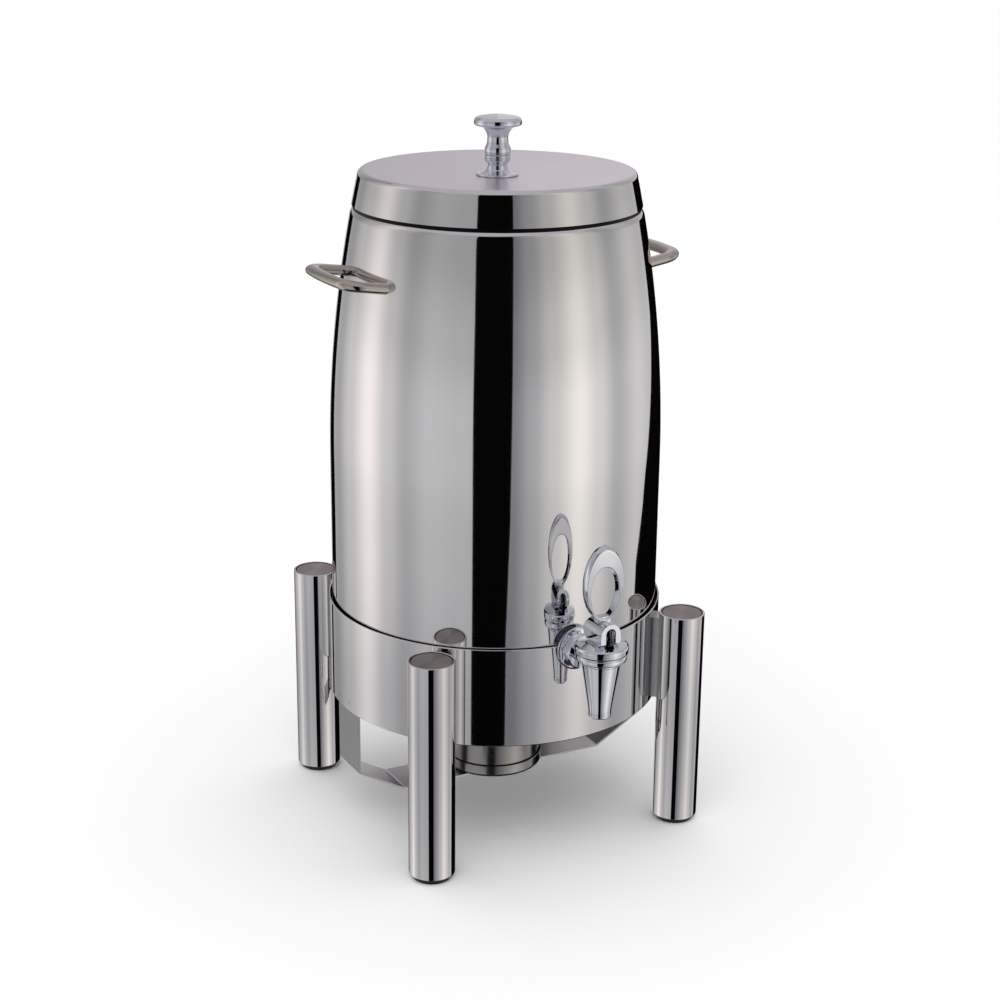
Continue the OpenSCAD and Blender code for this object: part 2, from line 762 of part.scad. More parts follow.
// Rivet on which the swivel lid turns
module lid_pivot_pin() {
    low = pot_top - lug_h;
    top = lid_z + pot_lid_t + pot_lid_gap;
    head = pivot_d / 2 + pot_lid_t;
    color("silver") translate([0, pivot_r]) {
        translate([0, 0, low - rivet_head_h]) cylinder(d = pivot_d, h = top - low + rivet_head_h * 2);
        translate([0, 0, low - rivet_head_h]) cylinder(r = head, h = rivet_head_h);
        translate([0, 0, top]) cylinder(r = head, h = rivet_head_h);
    }
}

// Barrel solid, for cutting pieces that lie against it
module barrel_solid(inset) {
    rotate_extrude() polygon(concat([[0, body_z]],
        barrel_curve(body_z, bulge_z, 1, inset), barrel_curve(bulge_z, body_top, bulge_steps, inset),
        [[0, body_top]]));
}

// Outer barrel, turned in at the foot to stand on the shelf
module barrel_shell() {
    foot = body_r - body_foot_w;
    edge = body_wall * 2;
    color("silver") difference() {
        rotate_extrude() polygon(concat([[foot, body_z]],
            arc(body_r - edge, body_z + edge, edge, -90, 0, 4),
            barrel_curve(bulge_z, body_top, bulge_steps, 0),
            [for (i = [bulge_steps : -1 : 0]) barrel_curve(bulge_z, body_top, bulge_steps, body_wall)[i]],
            [[body_r - body_wall, body_z + edge], [body_r - edge, body_z + body_wall], [foot, body_z + body_wall]]));
        tap_rod(shank_r + seat_gap, body_r - edge * 2, body_r + cut);
        handle_places() radial_rod(handle_screw_d / 2 + seat_gap, backer_x, handle_mid_x);
    }
}

// Inner vessel that holds the coffee, with the rim that closes the barrel
module inner_vessel() {
    r = vessel_round;
    lip = rim_t / 2;
    color("gainsboro") difference() {
        rotate_extrude() polygon(concat([[0, vessel_z]],
            arc(vessel_r - r, vessel_z + r, r, -90, 0, 6),
            [[vessel_r, body_top]],
            arc(rim_r - lip, body_top + lip, lip, -90, 90, 8),
            [[vessel_in_r, rim_top]],
            arc(vessel_r - r, vessel_z + r, r - vessel_wall, 0, -90, 6),
            [[0, vessel_z + vessel_wall]]));
        tap_rod(shank_r + seat_gap, vessel_in_r - r, vessel_r + cut);
    }
}

// Ring that centres the vessel's lower end in the barrel
module centre_ring() {
    z = body_z + body_wall * 2 + seat_gap;
    in_r = vessel_r + seat_gap;
    out_r = body_r - body_wall - seat_gap;
    top = tap_z - sleeve_r - body_wall;
    color("silver") rotate_extrude() polygon([
        [out_r, z], [out_r, z + body_wall], [in_r + body_wall, z + body_wall],
        [in_r + body_wall, top], [in_r, top], [in_r, z]]);
}

// Frame of the right handle: origin at the wall, tilted as the wall is there
module handle_frame() {
    translate([handle_wall_x, 0, handle_z]) rotate([0, -handle_tilt, 0]) children();
}

// Places of the handle screws, on both sides
module handle_places() {
    for (s = [0, 1], k = [-1, 1]) mirror([s, 0, 0]) handle_frame()
        translate([0, k * handle_arm_y, 0]) children();
}

// Middle line of a handle, from one root to the other
handle_bow_r = (pow(handle_w / 2, 2) + pow(handle_bow, 2)) / (2 * handle_bow);
handle_corner_y = handle_w / 2 - handle_bend;
handle_grip_a = asin(handle_corner_y / (handle_bow_r - handle_bend));
handle_corner_x = handle_mid_x - handle_bow_r + (handle_bow_r - handle_bend) * cos(handle_grip_a);
handle_half = concat(
    [[handle_root_x, handle_arm_y]],
    arc(handle_corner_x, handle_corner_y, handle_bend, 90, handle_grip_a, 8),
    arc(handle_mid_x - handle_bow_r, 0, handle_bow_r, handle_grip_a * 5 / 6, 0, 5));
handle_line = concat([for (p = handle_half) p],
    [for (i = [len(handle_half) - 2 : -1 : 0]) [handle_half[i][0], -handle_half[i][1]]]);

// Direction across the line at point i
function across(line, i) =
    let (a = line[max(i - 1, 0)], b = line[min(i + 1, len(line) - 1)], d = b - a)
    [-d[1], d[0]] / norm(d);

// Cast handle with an oval bar, cut to the barrel's curve
module handle() {
    rings = [for (i = [0 : len(handle_line) - 1])
        let (p = handle_line[i], n = across(handle_line, i))
        [for (j = [0 : bar_sides - 1]) let (a = 360 * j / bar_sides)
            [p[0] + n[0] * handle_r * cos(a), p[1] + n[1] * handle_r * cos(a),
             handle_bar_h / 2 * sin(a)]]];
    color("silver") difference() {
        handle_frame() skin(rings);
        barrel_solid(-seat_gap);
        handle_frame() for (k = [-1, 1]) translate([0, k * handle_arm_y, 0])
            radial_rod(handle_screw_d / 2 + seat_gap, backer_x, backer_x + backer_t + handle_screw_len);
    }
}

// Wedge washers that seat the handle screws on the curved wall
module handle_backers() {
    color("silver") difference() {
        intersection() {
            handle_places() translate([backer_x, -backer_w / 2, -backer_w / 2])
                cube([backer_t * 4, backer_w, backer_w]);
            barrel_solid(body_wall + seat_gap);
        }
        handle_places() radial_rod(handle_screw_d / 2 + seat_gap, backer_x - cut, handle_mid_x);
    }
}

// Screws from inside the barrel into the handles
module handle_screws() {
    color("silver") handle_places() {
        radial_rod(handle_screw_d / 2, backer_x - handle_screw_head_h, backer_x + backer_t + handle_screw_len - cut);
        radial_rod(handle_screw_head_d / 2, backer_x - handle_screw_head_h, backer_x);
    }
}

// Hollow threaded shank that carries the tap
module tap_shank() {
    color("silver") difference() {
        tap_rod(shank_r, shank_in_y, shank_end_y);
        tap_rod(shank_bore / 2, shank_in_y - cut, shank_end_y + cut);
    }
}

// Domed plate that covers the notch in the ring
module tap_cover_plate() {
    hole = shank_r + seat_gap;
    back = plate_y;
    color("gainsboro") translate([0, 0, tap_z]) rotate([90, 0, 0]) rotate_extrude() polygon([
        [hole, back], [plate_r, back], [plate_r, back + plate_t],
        [plate_r - plate_t, back + plate_t + plate_rise / 2],
        [collar_af / 2, collar_y], [hole, collar_y]]);
}

// Hexagonal collar that clamps the shank
module tap_collar() {
    color("gainsboro") difference() {
        intersection() {
            tap_rod(collar_af / 2 * hex_share, collar_y, neck_y, 6);
            translate([0, -collar_y, tap_z]) rotate([90, 0, 0])
                cylinder(r1 = collar_af / 2 * hex_share + collar_t / 2, r2 = collar_af / 2, h = collar_t);
        }
        tap_rod(shank_r + seat_gap, collar_y - cut, neck_y + cut);
    }
}

// Spacer tube between barrel and vessel
module tap_sleeve() {
    color("silver") difference() {
        intersection() {
            tap_rod(sleeve_r, vessel_r - cut, body_r);
            cylinder(r = body_r - body_wall - seat_gap, h = body_top, $fn = fine);
        }
        cylinder(r = vessel_r + seat_gap, h = body_top, $fn = fine);
        tap_rod(shank_r + seat_gap, vessel_r - cut * 3, body_r + cut);
    }
}

// Silicone washer between barrel and cover plate
module tap_washer_outer() {
    color("dimgray") difference() {
        tap_rod(washer_r, body_r - cut * 2, plate_y);
        cylinder(r = body_r + seat_gap, h = body_top, $fn = fine);
        tap_rod(shank_r + seat_gap, body_r - cut * 3, plate_y + cut);
    }
}

// Silicone washer inside the vessel
module tap_washer_inner() {
    color("dimgray") difference() {
        intersection() {
            tap_rod(washer_r, vessel_in_r - inner_washer_t, vessel_r);
            cylinder(r = vessel_in_r - seat_gap, h = body_top, $fn = fine);
        }
        tap_rod(shank_r + seat_gap, vessel_in_r - inner_washer_t - cut, vessel_r + cut);
    }
}

// Nut that draws the tap tight from inside the vessel
module tap_lock_nut() {
    color("silver") difference() {
        tap_rod(lock_nut_af / 2 * hex_share, lock_nut_y, lock_nut_y + lock_nut_t, 6);
        tap_rod(shank_r + seat_gap, lock_nut_y - cut, lock_nut_y + lock_nut_t + cut);
    }
}

// Bell-shaped valve body with its spout and inlet neck
module tap_body() {
    bell = concat(
        [[outlet_r + mouth_round / 5, spout_z]],
        arc(mouth_r - mouth_round, spout_z + mouth_round, mouth_round, -60, 0, 5),
        [[mouth_r, spout_z + throat_h * 2 / 3], [mouth_r + mouth_round / 8, spout_z + throat_h],
         [(mouth_r + flare_r) / 2, spout_z + (throat_h + flare_h) / 2],
         [flare_r, spout_z + flare_h], [flare_r + mouth_round / 2, spout_z + flare_h + throat_h / 2],
         [shoulder_r - bonnet_edge / 2, shoulder_z - bonnet_edge * 2],
         [shoulder_r, shoulder_z - bonnet_edge], [shoulder_r, shoulder_z],
         [neck_r, shoulder_z], [neck_r, shoulder_z + neck_h], [0, shoulder_z + neck_h], [0, spout_z]]);
    color("gainsboro") difference() {
        union() {
            translate([0, lever_y]) rotate_extrude() polygon(bell);
            difference() {
                tap_rod(inlet_r, neck_y + seat_gap, tap_reach - chamber_r);
                translate([0, lever_y, shoulder_z - neck_gap])
                    cylinder(r = bonnet_low_r + neck_gap, h = inlet_d);
            }
        }
        translate([0, lever_y]) rotate_extrude() polygon([
            [0, spout_z - cut], [outlet_r + mouth_round / 5, spout_z - cut],
            [outlet_r + mouth_round / 5, spout_z], [outlet_r, spout_z + mouth_round],
            [outlet_r, seat_z], [chamber_r, seat_z + seat_rise],
            [chamber_r, shoulder_z + neck_h + cut], [0, shoulder_z + neck_h + cut]]);
        tap_rod(shank_r + seat_gap, neck_y - cut, shank_end_y + seat_gap);
        translate([0, 0, passage_z - tap_z]) tap_rod(passage_r, shank_end_y, tap_reach - chamber_r / 2);
    }
}

// Two-ringed bonnet screwed onto the valve body
module tap_bonnet() {
    z = shoulder_z;
    low = z + bonnet_low_z;
    groove = low + bonnet_ring_h;
    high = groove + bonnet_groove_h;
    guide = stem_r + run_gap;
    in_r = bonnet_bore / 2;
    roof = bonnet_top - bonnet_roof;
    color("gainsboro") translate([0, lever_y]) rotate_extrude() polygon([
        [in_r, z], [shoulder_r + bonnet_edge, z], [bonnet_low_r - bonnet_edge / 2, low],
        [bonnet_low_r, low + bonnet_edge], [bonnet_low_r, groove - bonnet_edge],
        [bonnet_low_r - bonnet_groove, groove], [bonnet_low_r - bonnet_groove, high],
        [bonnet_r - bonnet_edge / 2, high], [bonnet_r, high + bonnet_edge],
        [bonnet_r, high + bonnet_ring_h], [bonnet_r - bonnet_edge, high + bonnet_ring_h + bonnet_edge],
        [bonnet_dome_r + bonnet_edge, bonnet_top - bonnet_edge / 2], [bonnet_dome_r, bonnet_top],
        [guide, bonnet_top], [guide, roof], [chamber_r, roof], [chamber_r, z + neck_h + seat_gap],
        [in_r, z + neck_h + seat_gap]]);
}

// Valve stem with its spring collar and the head that carries the lever's pin
module tap_stem() {
    low = plug_z + plug_h - stem_foot;
    color("silver") difference() {
        translate([0, lever_y]) {
            translate([0, 0, low]) cylinder(r = stem_r, h = pin_z - low);
            translate([0, 0, plug_z + plug_h + seat_gap / 2]) cylinder(r = stem_collar_r, h = stem_collar_t);
            translate([0, 0, pin_z - stem_head_low]) cylinder(d = stem_head_d, h = stem_head_low + stem_head_h);
        }
        translate([-stem_head_d, lever_y, pin_z]) radial_rod(pin_r + run_gap, 0, stem_head_d * 2);
    }
}

// Silicone plug that closes the outlet
module tap_seat_plug() {
    color("dimgray") translate([0, lever_y]) rotate_extrude() polygon([
        [0, plug_z], [plug_r - plug_bevel, plug_z], [plug_r, plug_z + plug_bevel], [plug_r, plug_z + plug_h],
        [stem_r + seat_gap, plug_z + plug_h], [stem_r + seat_gap, plug_z + plug_h - stem_foot - seat_gap],
        [0, plug_z + plug_h - stem_foot - seat_gap]]);
}

// Closing spring, one unbroken helix round the stem
spring_rings = 8;
spring_sides = 6;
spring_r = spring_d / 2;
spring_wire_r = spring_wire / 2;
spring_pitch = (spring_z1 - spring_z0 - spring_wire) / spring_turns;
spring_slope = atan2(spring_pitch, PI * spring_d);
function spring_ring(i) =
    let (a = 360 * i / spring_rings, z = spring_z0 + spring_wire_r + spring_pitch * i / spring_rings)
    [for (j = [0 : spring_sides - 1])
        let (b = 360 * j / spring_sides, r = spring_r + spring_wire_r * cos(b), u = spring_wire_r * sin(b))
        [r * cos(a) + u * sin(spring_slope) * sin(a),
         r * sin(a) - u * sin(spring_slope) * cos(a) + lever_y,
         z + u * cos(spring_slope)]];
echo(spring_least_gap = spring_pitch * cos(spring_slope) - spring_wire);

module tap_spring() {
    color("silver") skin([for (i = [0 : spring_turns * spring_rings]) spring_ring(i)]);
}

// Pin that joins lever and stem
module lever_pin() {
    color("silver") translate([-yoke_r, lever_y, pin_z]) radial_rod(pin_r, 0, yoke_w);
}

// Side view of the yoke, from the pin: the heel is an involute, so that the lift is even
function cam_point(a) = let (h = pin_h + cam_lift * a * PI / 180)
    [h * -sin(a) - cam_lift * cos(a), -h * cos(a) + cam_lift * sin(a)];
yoke_side = concat(
    [for (i = [0 : 6]) cam_point(lever_tilt * i / 6)],
    [[cam_point(lever_tilt)[0], yoke_top_h + cut]],
    [[yoke_back - yoke_round / 2, yoke_top_h + cut], [yoke_back, yoke_top_h - yoke_round]],
    arc(yoke_back - yoke_round, yoke_round - pin_h, yoke_round, 0, -90, 6));

// Points of the ring handle's section at angle a, from the hole to the rim
function loop_ring(a) =
    let (hole = [loop_hole_w / 2 * sin(a), loop_z0 + loop_base + loop_hole_h / 2 * (1 - cos(a))],
         rim = [loop_w / 2 * sin(a), loop_z0 + loop_h / 2 * (1 - cos(a))],
         mid = hole * (1 - loop_ridge_share) + rim * loop_ridge_share,
         e = loop_edge_t / 2, t = loop_t / 2)
    [[hole[0], lever_y - e, hole[1]], [mid[0], lever_y - t, mid[1]], [rim[0], lever_y - e, rim[1]],
     [rim[0], lever_y + e, rim[1]], [mid[0], lever_y + t, mid[1]], [hole[0], lever_y + e, hole[1]]];

// Lever: a slotted cam yoke under a ring handle
module tap_lever() {
    color("gainsboro") {
        difference() {
            intersection() {
                translate([0, lever_y, 0]) union() {
                    translate([0, yoke_back + cut, pin_z + yoke_top_h - yoke_r]) rotate([90, 0, 0])
                        cylinder(r = yoke_r, h = yoke_back * 2 + cut * 2);
                    translate([-yoke_r, -yoke_back - cut, pin_z - yoke_top_h])
                        cube([yoke_w, yoke_back * 2 + cut * 2, yoke_top_h * 2 - yoke_r]);
                }
                translate([-yoke_w, lever_y, pin_z]) rotate([90, 0, 90])
                    linear_extrude(yoke_w * 2) polygon(yoke_side);
            }
            translate([0, lever_y + yoke_back * 2, pin_z + slot_top_h - slot_r]) rotate([90, 0, 0])
                cylinder(r = slot_r, h = yoke_back * 4);
            translate([-slot_r, lever_y - yoke_back * 2, pin_z - yoke_top_h * 2])
                cube([slot_w, yoke_back * 4, yoke_top_h * 2 + slot_top_h - slot_r]);
            translate([-yoke_w, lever_y, pin_z]) radial_rod(pin_r + seat_gap, 0, yoke_w * 2);
        }
        translate([-loop_neck_w / 2, lever_y - loop_neck_t / 2, pin_z + slot_top_h + cut])
            cube([loop_neck_w, loop_neck_t, loop_z0 + loop_base - pin_z - slot_top_h - cut]);
        skin([for (i = [0 : loop_steps - 1]) loop_ring(360 * i / loop_steps)], closed = true);
    }
}

// Height of the lid's upper face at a distance from the axis: level under the knob, then rising
function lid_face(r) = let (q = max(0, r - knob_foot_r) / (lid_flat_r - knob_foot_r))
    lid_top - lid_dish * (1 - q * q);

// Lid shell: a side that continues the barrel and a shallow dished top
module lid_shell() {
    top_steps = 8;
    hole = knob_screw_r + seat_gap;
    t = lid_wall;
    radii = concat([hole],
        [for (i = [0 : top_steps]) knob_foot_r + (lid_flat_r - knob_foot_r) * i / top_steps]);
    face = [for (i = [len(radii) - 1 : -1 : 0]) [radii[i], lid_face(radii[i])]];
    under = [for (r = radii) [r, lid_face(r) - t]];
    side = barrel_curve(lid_z0, lid_edge_z, 4, 0);
    color("silver") rotate_extrude() polygon(concat(side,
        arc(lid_flat_r, lid_edge_z, lid_edge_r, lid_slope, 90, 8), face, under,
        arc(lid_flat_r, lid_edge_z, lid_edge_r - t, 90, lid_slope, 8),
        [for (i = [4 : -1 : 0]) [side[i][0] - t, side[i][1]]]));
}

// Ring under the lid: it rests on the rim, drops into the vessel and is welded to the lid's side
module lid_liner() {
    t = lid_wall;
    in_r = liner_r - t;
    top = lid_z0 + liner_weld_h;
    edge_r = barrel_r(lid_z0) - t - seat_gap;
    top_r = barrel_r(top) - t - seat_gap;
    color("silver") rotate_extrude() polygon([
        [in_r, rim_top - liner_depth], [liner_r, rim_top - liner_depth], [liner_r, rim_top],
        [edge_r, rim_top], [edge_r, lid_z0], [top_r, top], [top_r - t, top],
        [edge_r - t, rim_top + t], [in_r, rim_top + t]]);
}

// Foot of the knob: flange, waist and the lower half of the band
module knob_foot() {
    edge = knob_foot_t / 2;
    color("gainsboro") translate([0, 0, knob_z]) rotate_extrude() polygon(concat(
        [[knob_screw_r + seat_gap, 0], [knob_foot_r - edge, 0]],
        arc(knob_foot_r - edge, edge, edge, -60, 90, 5),
        [[knob_foot_r - edge * 3, knob_foot_t - edge / 2], [knob_waist_r + edge * 4, knob_foot_t + edge],
         [knob_waist_r + edge, knob_foot_t + edge * 3],
         [knob_waist_r, knob_waist_z], [knob_waist_r, knob_cone_z], [knob_band_r, knob_band_low_z],
         [knob_band_r, knob_split_h - knob_groove], [knob_band_r - knob_groove, knob_split_h],
         [knob_screw_r + seat_gap, knob_split_h]]));
}

// Mushroom head of the knob, with the upper half of the band
module knob_head() {
    z = knob_split_h;
    blind = z + knob_screw_grip + cut;
    cap = [for (p = knob_cap_shares) [knob_r * p[0], knob_flare_z + (knob_h - knob_flare_z) * p[1]]];
    color("gainsboro") translate([0, 0, knob_z]) rotate_extrude() polygon(concat(
        [[knob_screw_r + seat_gap, z], [knob_band_r - knob_groove, z], [knob_band_r, z + knob_groove],
         [knob_band_r, knob_band_top_z], [knob_neck_r + knob_groove / 2, knob_neck_z],
         [knob_neck_r, knob_flare_z]],
        cap, [[0, blind], [knob_screw_r + seat_gap, blind]]));
}

// Screw from under the lid into the knob
module knob_screw() {
    low = knob_under - knob_washer_t;
    color("silver") {
        translate([0, 0, low]) cylinder(r = knob_screw_r, h = knob_z + knob_split_h + knob_screw_grip - low);
        translate([0, 0, low - knob_screw_head_h]) cylinder(r = knob_screw_head_r, h = knob_screw_head_h);
    }
}

// Washer between screw head and lid
module knob_washer() {
    z = knob_under - knob_washer_t;
    color("silver") difference() {
        translate([0, 0, z]) cylinder(r = knob_washer_r, h = knob_washer_t);
        translate([0, 0, z - cut]) cylinder(r = knob_screw_r + seat_gap, h = knob_washer_t + cut * 2);
    }
}

base_ring();
urn_shelf();
for (i = LEGS) at_leg(i) leg();
for (i = LEGS) at_leg(i) leg_cap();
for (i = LEGS) at_leg(i) leg_foot();
for (i = LEGS) at_leg(i) leg_spacer();
leg_bolts();
leg_nuts();
burner_strap();
strap_rivets();
burner_pan();
pan_rivets();
fuel_pot();
fuel_pot_handle();
fuel_pot_lid();
lid_pivot_pin();
barrel_shell();
inner_vessel();
centre_ring();
mirror([1, 0, 0]) handle();  // handle_left
handle();  // handle_right
handle_backers();
handle_screws();
tap_shank();
tap_cover_plate();
tap_collar();
tap_sleeve();
tap_washer_outer();
tap_washer_inner();
tap_lock_nut();
tap_body();
tap_bonnet();
tap_stem();
tap_seat_plug();
tap_spring();
lever_pin();
tap_lever();
lid_shell();
lid_liner();
knob_foot();
knob_head();
knob_screw();
knob_washer();
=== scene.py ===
# %% [markdown]
# # A buffet coffee urn in mirror-polished steel
# The urn stands in a ring on four legs, over a small fuel burner. Its lid lifts off, and a lever tap
# lets the coffee out. The solids come from CAD and stay where they are. This lesson gives every piece
# a finish, remakes the polished ones with smoother surfaces, and builds the room that they mirror,
# because polished steel has hardly any colour of its own: it looks like whatever stands round it.

import json
import math

import bmesh
import bpy
from mathutils import Matrix, Vector


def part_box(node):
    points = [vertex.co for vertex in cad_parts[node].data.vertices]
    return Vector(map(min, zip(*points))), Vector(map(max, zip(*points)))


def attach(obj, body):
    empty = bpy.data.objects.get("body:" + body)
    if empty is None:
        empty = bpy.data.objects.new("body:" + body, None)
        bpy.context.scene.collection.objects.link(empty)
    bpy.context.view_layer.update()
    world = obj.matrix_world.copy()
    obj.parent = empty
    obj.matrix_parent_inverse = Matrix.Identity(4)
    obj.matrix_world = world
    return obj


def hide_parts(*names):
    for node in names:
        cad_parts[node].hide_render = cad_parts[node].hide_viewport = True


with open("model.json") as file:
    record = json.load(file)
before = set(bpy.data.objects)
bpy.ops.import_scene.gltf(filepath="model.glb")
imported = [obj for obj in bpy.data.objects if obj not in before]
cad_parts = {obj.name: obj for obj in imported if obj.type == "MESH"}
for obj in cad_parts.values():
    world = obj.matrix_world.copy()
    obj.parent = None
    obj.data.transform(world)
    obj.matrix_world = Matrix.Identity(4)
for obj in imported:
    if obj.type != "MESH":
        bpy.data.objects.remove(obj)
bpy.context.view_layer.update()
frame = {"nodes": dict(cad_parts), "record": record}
nodes = frame["nodes"]

# %% [markdown]
# ## Helpers
# Sizes are written in millimetres and multiplied by `mm`. Colours are written as sRGB hex values, as a
# paint chart gives them, and turned to the linear values that Blender computes with.

# %% Units and colour
mm = 0.001
FULL_TURN = 2 * math.pi


def linear(hex_colour):
    """An sRGB hex colour as linear red, green, blue and alpha."""
    values = []
    for start in (1, 3, 5):
        share = int(hex_colour[start:start + 2], 16) / 255
        values.append(share / 12.92 if share <= 0.04045 else ((share + 0.055) / 1.055) ** 2.4)
    return (*values, 1)


def add_node(tree, kind, settings=(), sockets=(), links=()):
    """Adds a node, sets its properties and input sockets, and links outputs to its inputs."""
    node = tree.nodes.new(kind)
    for name, value in dict(settings).items():
        setattr(node, name, value)
    for name, value in dict(sockets).items():
        node.inputs[name].default_value = value
    for name, output in dict(links).items():
        tree.links.new(output, node.inputs[name])
    return node


print("mid grey in linear light:", linear("#808080"))

# %% [markdown]
# ## How polished metal is set up
# All metals here share one recipe: a Principled shader with metallic 1, a colour for the alloy and a
# roughness for how far it was polished. What tells them apart is the fine structure: a buffing wheel
# leaves an almost invisible waviness, brushing leaves long scratches, and turning on a lathe leaves rings.
# A texture read in Object coordinates sits in the metal at its real size.

# %% A recipe for metal
def new_material(name):
    """An empty node material and its output node."""
    material = bpy.data.materials.new(name)
    material.use_nodes = True
    material.node_tree.nodes.clear()
    output = add_node(material.node_tree, "ShaderNodeOutputMaterial")
    return material, material.node_tree, output


def metal(name, colour, roughness, spread, grain_mm, stretch, bump_mm, detail=2):
    """Metal whose gloss varies a little with a noise of the given grain size, stretched per axis."""
    material, tree, output = new_material(name)
    place = add_node(tree, "ShaderNodeTexCoord")
    scale = [1 / (grain_mm * mm * factor) for factor in stretch]
    mapping = add_node(tree, "ShaderNodeMapping", sockets={"Scale": scale},
                       links={"Vector": place.outputs["Object"]})
    noise = add_node(tree, "ShaderNodeTexNoise", sockets={"Scale": 1, "Detail": detail},
                     links={"Vector": mapping.outputs["Vector"]})
    gloss = add_node(tree, "ShaderNodeMapRange",
                     sockets={"To Min": max(roughness - spread, 0.01), "To Max": roughness + spread},
                     links={"Value": noise.outputs["Fac"]})
    bump = add_node(tree, "ShaderNodeBump", sockets={"Strength": 1, "Distance": bump_mm * mm},
                    links={"Height": noise.outputs["Fac"]})
    shader = add_node(tree, "ShaderNodeBsdfPrincipled",
                      sockets={"Base Color": linear(colour), "Metallic": 1},
                      links={"Roughness": gloss.outputs["Result"], "Normal": bump.outputs["Normal"]})
    tree.links.new(shader.outputs["BSDF"], output.inputs["Surface"])
    return material


# %% [markdown]
# What shows most is polished: spun sheet, castings and plated brass, each with its own tint and gloss.

# %% Polished metals
# Stainless steel sheet, spun and buffed to a mirror: neutral, with a slow waviness left by the wheel.
mirror_steel = metal("stainless steel, mirror buffed", "#E6E5E6", 0.045, 0.012, 30, (1, 1, 1.6), 0.006)
# The top of the lid: the same sheet, rubbed to a fine satin, so that the knob hardly mirrors in it.
satin_top = metal("stainless steel, fine satin", "#E9E6EA", 0.3, 0.03, 20, (1, 1, 1), 0.004)
# Cast stainless steel, ground and polished: warmer and softer than the sheet.
cast_steel = metal("cast stainless steel, polished", "#C4BDB4", 0.1, 0.03, 6, (1, 1, 1), 0.004)
# Brass with a bright chrome plate: bluish and very clear.
chrome_plate = metal("chrome plate on brass", "#E4E8F0", 0.04, 0.01, 12, (1, 1, 1), 0.002)
print("polished:", [m.name for m in (mirror_steel, satin_top, cast_steel, chrome_plate)])

# %% [markdown]
# The working pieces weren't buffed. Strip keeps the fine scratches of the brushing belt, which all run
# one way, so its noise is stretched along that way. A picture of scratches would do too, but noise
# has no seams and stays sharp at any distance.

# %% Brushed and plain metals
# Stainless steel strip, brushed along its length, which runs along X on the burner's strap.
brushed_strip = metal("stainless steel strip, brushed", "#B9B8BA", 0.24, 0.05, 0.5, (40, 1, 1), 0.004, 4)
# Drawn stainless steel of pan and pot: brushed round and a little dull from the flame's heat.
burner_steel = metal("drawn stainless steel, burner", "#A9A6A4", 0.2, 0.05, 0.8, (30, 30, 1), 0.004, 4)
# Stainless steel of the inner vessel, left satin because it only meets the coffee.
satin_vessel = metal("stainless steel, satin", "#C4C4C5", 0.26, 0.04, 0.8, (20, 20, 1), 0.004, 4)
# Near-black steel that paints shade: the faces inside the seam under the lid and in the grooves
# round the leg discs are painted this dark, for the shadow that shows there as black lines.
painted_shade_steel = metal("stainless steel, painted shade", "#1E1E1F", 0.4, 0.05, 0.8, (20, 20, 1), 0.004, 2)
# Stock fasteners: plain stainless steel, bright from the cold heading.
fastener = metal("stainless steel fasteners, plain", "#B8B7B6", 0.25, 0.04, 2, (1, 1, 1), 0.002)
# Drawn spring wire.
spring_wire = metal("spring steel wire, drawn", "#9A9997", 0.28, 0.04, 1, (1, 1, 1), 0.002)
plain_metals = (brushed_strip, burner_steel, satin_vessel, painted_shade_steel, fastener, spring_wire)
print("plain:", [m.name for m in plain_metals])


# %% [markdown]
# The legs stand on moulded rubber feet, and moulded silicone seals the tap. Only slivers of them show,
# so one short recipe does: no metal, a high roughness and a fine bump.

# %% Rubber and silicone
def elastomer(name, colour, roughness, grain_mm):
    """Moulded rubber or silicone: matt, with a fine grain from the mould."""
    material, tree, output = new_material(name)
    place = add_node(tree, "ShaderNodeTexCoord")
    noise = add_node(tree, "ShaderNodeTexNoise", sockets={"Scale": 1 / (grain_mm * mm), "Detail": 3},
                     links={"Vector": place.outputs["Object"]})
    bump = add_node(tree, "ShaderNodeBump", sockets={"Strength": 0.4, "Distance": 0.05 * mm},
                    links={"Height": noise.outputs["Fac"]})
    shader = add_node(tree, "ShaderNodeBsdfPrincipled",
                      sockets={"Base Color": linear(colour), "Roughness": roughness},
                      links={"Normal": bump.outputs["Normal"]})
    tree.links.new(shader.outputs["BSDF"], output.inputs["Surface"])
    return material


black_rubber = elastomer("moulded rubber, black", "#141414", 0.55, 0.6)
silicone = elastomer("moulded silicone, grey", "#55565A", 0.5, 0.8)
print("elastomers:", black_rubber.name, silicone.name)

# %% [markdown]
# ## Turned discs
# Each leg ends in a disc that was faced on a lathe. The tool leaves rings round the disc's middle, and
# rings scatter light across themselves, so two bright sectors show, like a bow tie. The rings need the
# distance from each disc's own middle, so the mesh carries its place as an attribute, `disc_place`.

# %% Turned steel
RING_PITCH = 0.7 * mm


